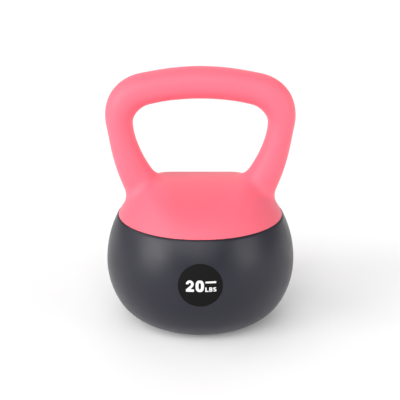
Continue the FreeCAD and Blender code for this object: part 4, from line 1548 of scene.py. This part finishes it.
@dataclass(frozen=True)
class Glyph:
    """One mark: where its lower left corner lies on the label, and its size."""

    mark: Mark
    left: float
    bottom: float
    width: float
    height: float

    def outlines(self) -> list[list[Point2]]:
        """Closed outlines of the mark in its own units, the outer one first."""
        makers = {
            Mark.TWO: self._two,
            Mark.ZERO: self._zero,
            Mark.L: self._l,
            Mark.B: self._b,
            Mark.S: self._s,
            Mark.BAR: self._bar,
        }
        return [[(self.left + x * self.width, self.bottom + z * self.height) for x, z in outline]
                for outline in makers[self.mark]()]

    @staticmethod
    def _two() -> list[list[Point2]]:
        """Draw a bold 2.

        Returns:
            Its outline in a unit box.
        """
        outer = arc_points((0.49, 0.675), (0.49, 0.325), 183, -22, 22)
        back = [(0.87, 0.47), (0.79, 0.40), (0.53, 0.225)]
        back += [(1.0, 0.225), (1.0, 0.0), (0.0, 0.0), (0.0, 0.17)]
        waist = [(0.09, 0.26), (0.50, 0.505), (0.58, 0.57)]
        inner = arc_points((0.485, 0.665), (0.165, 0.130), -35, 180, 14)
        return [outer + back + waist + inner]

    @staticmethod
    def _rounded(centre: Point2, half: Point2, power: float, steps: int = 40) -> list[Point2]:
        """Draw an oval.

        Args:
            centre: its centre.
            half: its half width and half height.
            power: 2 for an ellipse, more for a squarer oval.
            steps: number of points.

        Returns:
            The points.
        """
        points = []
        for turn in np.arange(steps) * FULL_TURN / steps:
            wide, tall = math.cos(turn), math.sin(turn)
            points.append((centre[0] + half[0] * math.copysign(abs(wide) ** (2 / power), wide),
                           centre[1] + half[1] * math.copysign(abs(tall) ** (2 / power), tall)))
        return points

    def _zero(self) -> list[list[Point2]]:
        """Outlines of a bold 0."""
        middle = (0.5, 0.5)
        return [self._rounded(middle, (0.5, 0.5), 2.5), self._rounded(middle, (0.15, 0.285), 2.6)]

    @staticmethod
    def _l() -> list[list[Point2]]:
        """Outline of a bold L."""
        return [[(0, 0), (1, 0), (1, 0.24), (0.38, 0.24), (0.38, 1), (0, 1)]]

    @staticmethod
    def _b() -> list[list[Point2]]:
        """Draw a bold B.

        Returns:
            Its outline and the outlines of its two eyes, in a unit box.
        """
        upper = arc_points((0.58, 0.745), (0.36, 0.255), 90, -55, 8)
        lower = arc_points((0.60, 0.285), (0.40, 0.285), 60, -90, 9)
        eyes = [[(0.34, low), (0.34, high), (0.56, high), (0.64, (low + high) / 2), (0.56, low)]
                for low, high in ((0.19, 0.40), (0.60, 0.80))]
        return [[(0, 0), (0, 1)] + upper + lower] + eyes

    @staticmethod
    def _s() -> list[list[Point2]]:
        """Draw a bold S, as a band along two joined bows.

        Returns:
            Its outline in a unit box.
        """
        line = arc_points((0.5, 0.73), (0.36, 0.16), 15, 270, 14)
        line += arc_points((0.5, 0.27), (0.36, 0.16), 90, -165, 14)[1:]
        return [band(line, (0.30, 0.22))]

    def _bar(self) -> list[list[Point2]]:
        """Draw a plain bar with round ends.

        Returns:
            Its outline in a unit box.
        """
        end = 0.5 * self.height / self.width
        right = arc_points((1 - end, 0.5), (end, 0.5), -90, 90, 8)
        return [right + arc_points((end, 0.5), (end, 0.5), 90, 270, 8)]


def band(line: Sequence[Point2], width: Point2) -> list[Point2]:
    """Draw a band along a line.

    Args:
        line: its middle line.
        width: width of an upright stretch and of a level stretch.

    Returns:
        The band's outline.
    """
    points = np.array(line)
    run = np.gradient(points, axis=0)
    run /= np.linalg.norm(run, axis=1)[:, None]
    side = np.stack([-run[:, 1] * width[0] / 2, run[:, 0] * width[1] / 2], axis=-1)
    return [tuple(p) for p in np.vstack([points + side, (points - side)[::-1]]).tolist()]


@dataclass
class WeightLabel:
    """The round label and its white lettering, curved to the bowl."""

    surface: BowlSurface = field(default_factory=BowlSurface)
    seat: LabelPlace = field(default_factory=LabelPlace)
    edge: float = 0.12 * MM
    back_gap: float = 0.03 * MM
    print_rise: float = 0.05 * MM
    print_wall: float = 0.2 * MM
    number_low: float = 66.45 * MM
    unit_low: float = 66.5 * MM
    unit_left: float = 4.85 * MM
    unit_pitch: float = 3.85 * MM
    unit_width: float = 3.35 * MM
    unit_height: float = 4.6 * MM
    sides: int = 120
    slices: float = 1.2 * MM

    def glyphs(self) -> list[Glyph]:
        """List what is printed on the label: the number, its unit and a plain bar.

        Returns:
            The marks.
        """
        low = self.number_low
        marks = [
            Glyph(Mark.TWO, -14.2 * MM, low, 7.8 * MM, 11.8 * MM),
            Glyph(Mark.ZERO, -4.75 * MM, low - 0.1 * MM, 8.35 * MM, 12.0 * MM),
            Glyph(Mark.BAR, 4.9 * MM, 75.3 * MM, 10.9 * MM, 1.9 * MM),
        ]
        for index, mark in enumerate((Mark.L, Mark.B, Mark.S)):
            left = self.unit_left + self.unit_pitch * index
            marks.append(Glyph(mark, left, self.unit_low, self.unit_width, self.unit_height))
        return marks

    def disc(self) -> bpy.types.Object:
        """Build the label as a closed curved disc with a rounded edge.

        Returns:
            The mesh object.
        """
        seat = self.seat
        radius = seat.radius
        rows = [(share * radius, 0.0) for share in np.linspace(0.04, 0.96, 16)]
        for turn in np.radians((0, 30, 60, 90)):
            rows.append((radius - self.edge * (1 - math.sin(turn)), -self.edge * (1 - math.cos(turn))))
        back = -seat.depth + self.back_gap
        rows.append((radius, back))
        rows += [(share * radius, back) for share in (0.7, 0.4, 0.04)]
        turn = np.arange(self.sides) * FULL_TURN / self.sides
        points, faces = [], []
        for reach, proud in rows:
            across, height = reach * np.cos(turn), seat.height + reach * np.sin(turn)
            points.append(self.surface.front(across, height, proud))
        for row in range(len(rows) - 1):
            faces += [panel(row, row + 1, side, self.sides) for side in range(self.sides)]
        faces.append(tuple(range(self.sides)))
        faces.append(tuple(range((len(rows) - 1) * self.sides, len(rows) * self.sides)))
        item = object_from("weight_label_skin", np.vstack(points), faces)
        tidy_normals(item)
        shade_smooth(item)
        return item

    def lettering(self) -> bpy.types.Object:
        """Build the lettering as thin closed solids that follow the label.

        Returns:
            The mesh object.
        """
        whole = bmesh.new()
        for glyph in self.glyphs():
            whole.from_mesh(self.solid_mark(glyph))
        mesh = bpy.data.meshes.new("weight_numerals_skin")
        whole.to_mesh(mesh)
        whole.free()
        item = bpy.data.objects.new("weight_numerals_skin", mesh)
        bpy.context.scene.collection.objects.link(item)
        shade_smooth(item, 30.0)
        return item

    def solid_mark(self, glyph: Glyph) -> bpy.types.Mesh:
        """Fill one mark, slice it so that it can bend, thicken it and lay it on the label.

        Args:
            glyph: the mark.

        Returns:
            Its closed mesh.
        """
        shell = bmesh.new()
        for outline in glyph.outlines():
            corners = [shell.verts.new((x, 0.0, z)) for x, z in outline]
            for here, corner in enumerate(corners):
                shell.edges.new((corner, corners[(here + 1) % len(corners)]))
        bmesh.ops.triangle_fill(shell, use_beauty=True, edges=shell.edges[:])
        for axis, start, size in ((0, glyph.left, glyph.width), (2, glyph.bottom, glyph.height)):
            for cut in np.arange(start + self.slices, start + size, self.slices):
                place, normal = Vector(), Vector()
                place[axis], normal[axis] = cut, 1.0
                whole = shell.verts[:] + shell.edges[:] + shell.faces[:]
                bmesh.ops.bisect_plane(shell, geom=whole, plane_co=place, plane_no=normal, dist=1e-6)
        made = bmesh.ops.extrude_face_region(shell, geom=shell.faces[:])["geom"]
        raised = {part for part in made if isinstance(part, bmesh.types.BMVert)}
        for vertices, proud in ((raised, self.print_rise), (set(shell.verts) - raised, -self.print_wall)):
            group = list(vertices)
            across = np.array([vertex.co.x for vertex in group])
            height = np.array([vertex.co.z for vertex in group])
            for vertex, place in zip(group, self.surface.front(across, height, proud)):
                vertex.co = place
        bmesh.ops.recalc_face_normals(shell, faces=shell.faces)
        mesh = bpy.data.meshes.new(f"mark_{glyph.mark.value}")
        shell.to_mesh(mesh)
        shell.free()
        return mesh

    def build(self) -> None:
        """Build and dress the label and its lettering."""
        settle(self.disc(), "weight_label", BLACK_INK)
        settle(self.lettering(), "weight_numerals", WHITE_INK)


# ---------------------------------------------------------------------------------------------
# Studio


@dataclass(frozen=True)
class FarLight:
    """A wide soft light that is far away, so that it falls alike on the object and the whole floor."""

    name: str
    azimuth: float
    elevation: float
    spread: float
    strength: float

    def build(self) -> None:
        """Add the light to the scene."""
        lamp = bpy.data.lights.new(self.name, "SUN")
        lamp.angle = math.radians(self.spread)
        lamp.energy = self.strength
        item = bpy.data.objects.new(self.name, lamp)
        turn, rise = math.radians(self.azimuth), math.radians(self.elevation)
        away = Vector((math.sin(turn) * math.cos(rise), -math.cos(turn) * math.cos(rise), math.sin(rise)))
        item.location = away
        item.rotation_euler = (-away).to_track_quat("-Z", "Y").to_euler()
        bpy.context.scene.collection.objects.link(item)


@dataclass
class Studio:
    """Pale floor, even surroundings, soft lights and the camera."""

    camera_distance: float = 1.1
    camera_rise: float = 18.11
    look_height: float = 129.3 * MM
    lens: float = 93.4
    shift: float = -0.0009
    floor_size: float = 30.0
    floor_cloud: float = 0.6
    floor_pale: float = 0.93
    floor_paler: float = 0.95
    floor_glow: float = 0.07
    surround: float = 0.28
    horizon: Range = (0.02, 0.05)
    lights: tuple[FarLight, ...] = (
        FarLight("left_low_light", -60, 16, 35, 1.56),
        FarLight("left_front_light", -35, 38, 45, 0.68),
        FarLight("left_side_light", -95, 30, 45, 0.60),
        FarLight("right_low_light", 60, 16, 35, 0.84),
        FarLight("right_side_light", 95, 30, 45, 0.12),
        FarLight("front_light", 0, 38, 45, 1.11),
        FarLight("back_light", 180, 40, 60, 0.61),
    )

    def build(self) -> None:
        """Build the studio."""
        self.floor()
        self.surroundings()
        for light in self.lights:
            light.build()
        self.camera()
        bpy.context.scene.view_settings.view_transform = "Standard"

    def floor(self) -> None:
        """Lay the pale floor, level with the base."""
        half = self.floor_size / 2
        corners = np.array([(-half, -half, 0), (half, -half, 0), (half, half, 0), (-half, half, 0)])
        item = object_from("studio_floor", corners, [(0, 1, 2, 3)])
        graph = Graph("pale_floor")
        pale, paler = tint((self.floor_pale,) * 3), tint((self.floor_paler,) * 3)
        colour = graph.blend(graph.noise(self.floor_cloud), pale, paler)
        glow = {"Emission_Color": (1, 1, 1, 1), "Emission_Strength": self.floor_glow}
        item.data.materials.append(graph.finish(Base_Color=colour, Roughness=0.9, **glow))

    def surroundings(self) -> None:
        """Light the scene evenly from all round, and keep the horizon as pale as the floor."""
        graph = SkyGraph("studio")
        direction = graph.node("ShaderNodeTexCoord").out("Generated")
        up = graph.node("ShaderNodeSeparateXYZ", {}, {"Vector": direction}).out("Z")
        strength = 1 - graph.ramp(up, *self.horizon) * (1 - self.surround)
        shade = graph.node("ShaderNodeBackground", {}, {"Color": (1, 1, 1, 1), "Strength": strength})
        graph.tree.links.new(shade.item.outputs[0], graph.output.inputs["Surface"])
        bpy.context.scene.world = graph.world

    def camera(self) -> None:
        """Place the camera in front of the label, a little above."""
        lens = bpy.data.cameras.new("camera")
        lens.lens = self.lens
        lens.shift_x = self.shift
        item = bpy.data.objects.new("camera", lens)
        rise = math.radians(self.camera_rise)
        item.location = (0, -self.camera_distance * math.cos(rise),
                         self.look_height + self.camera_distance * math.sin(rise))
        item.rotation_euler = (math.pi / 2 - rise, 0, 0)
        bpy.context.scene.collection.objects.link(item)
        bpy.context.scene.camera = item


def dress_hidden_parts() -> None:
    """Give every CAD piece that stays its own finish."""
    materials: dict[str, bpy.types.Material] = {}
    for node, finish in HIDDEN_FINISHES.items():
        if finish.name not in materials:
            materials[finish.name] = finish.material()
        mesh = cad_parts[node].data
        mesh.materials.clear()
        mesh.materials.append(materials[finish.name])
        log.info("%s: kept as it is, %s", node, finish.name)


def main() -> None:
    """Build the kettlebell and its studio."""
    logging.basicConfig(level=logging.INFO, format="%(name)s: %(message)s")
    dress_hidden_parts()
    Bowl().build()
    Stopper().build()
    WeightLabel().build()
    HandleCap().build()
    Studio().build()


if __name__ == "__main__":
    main()
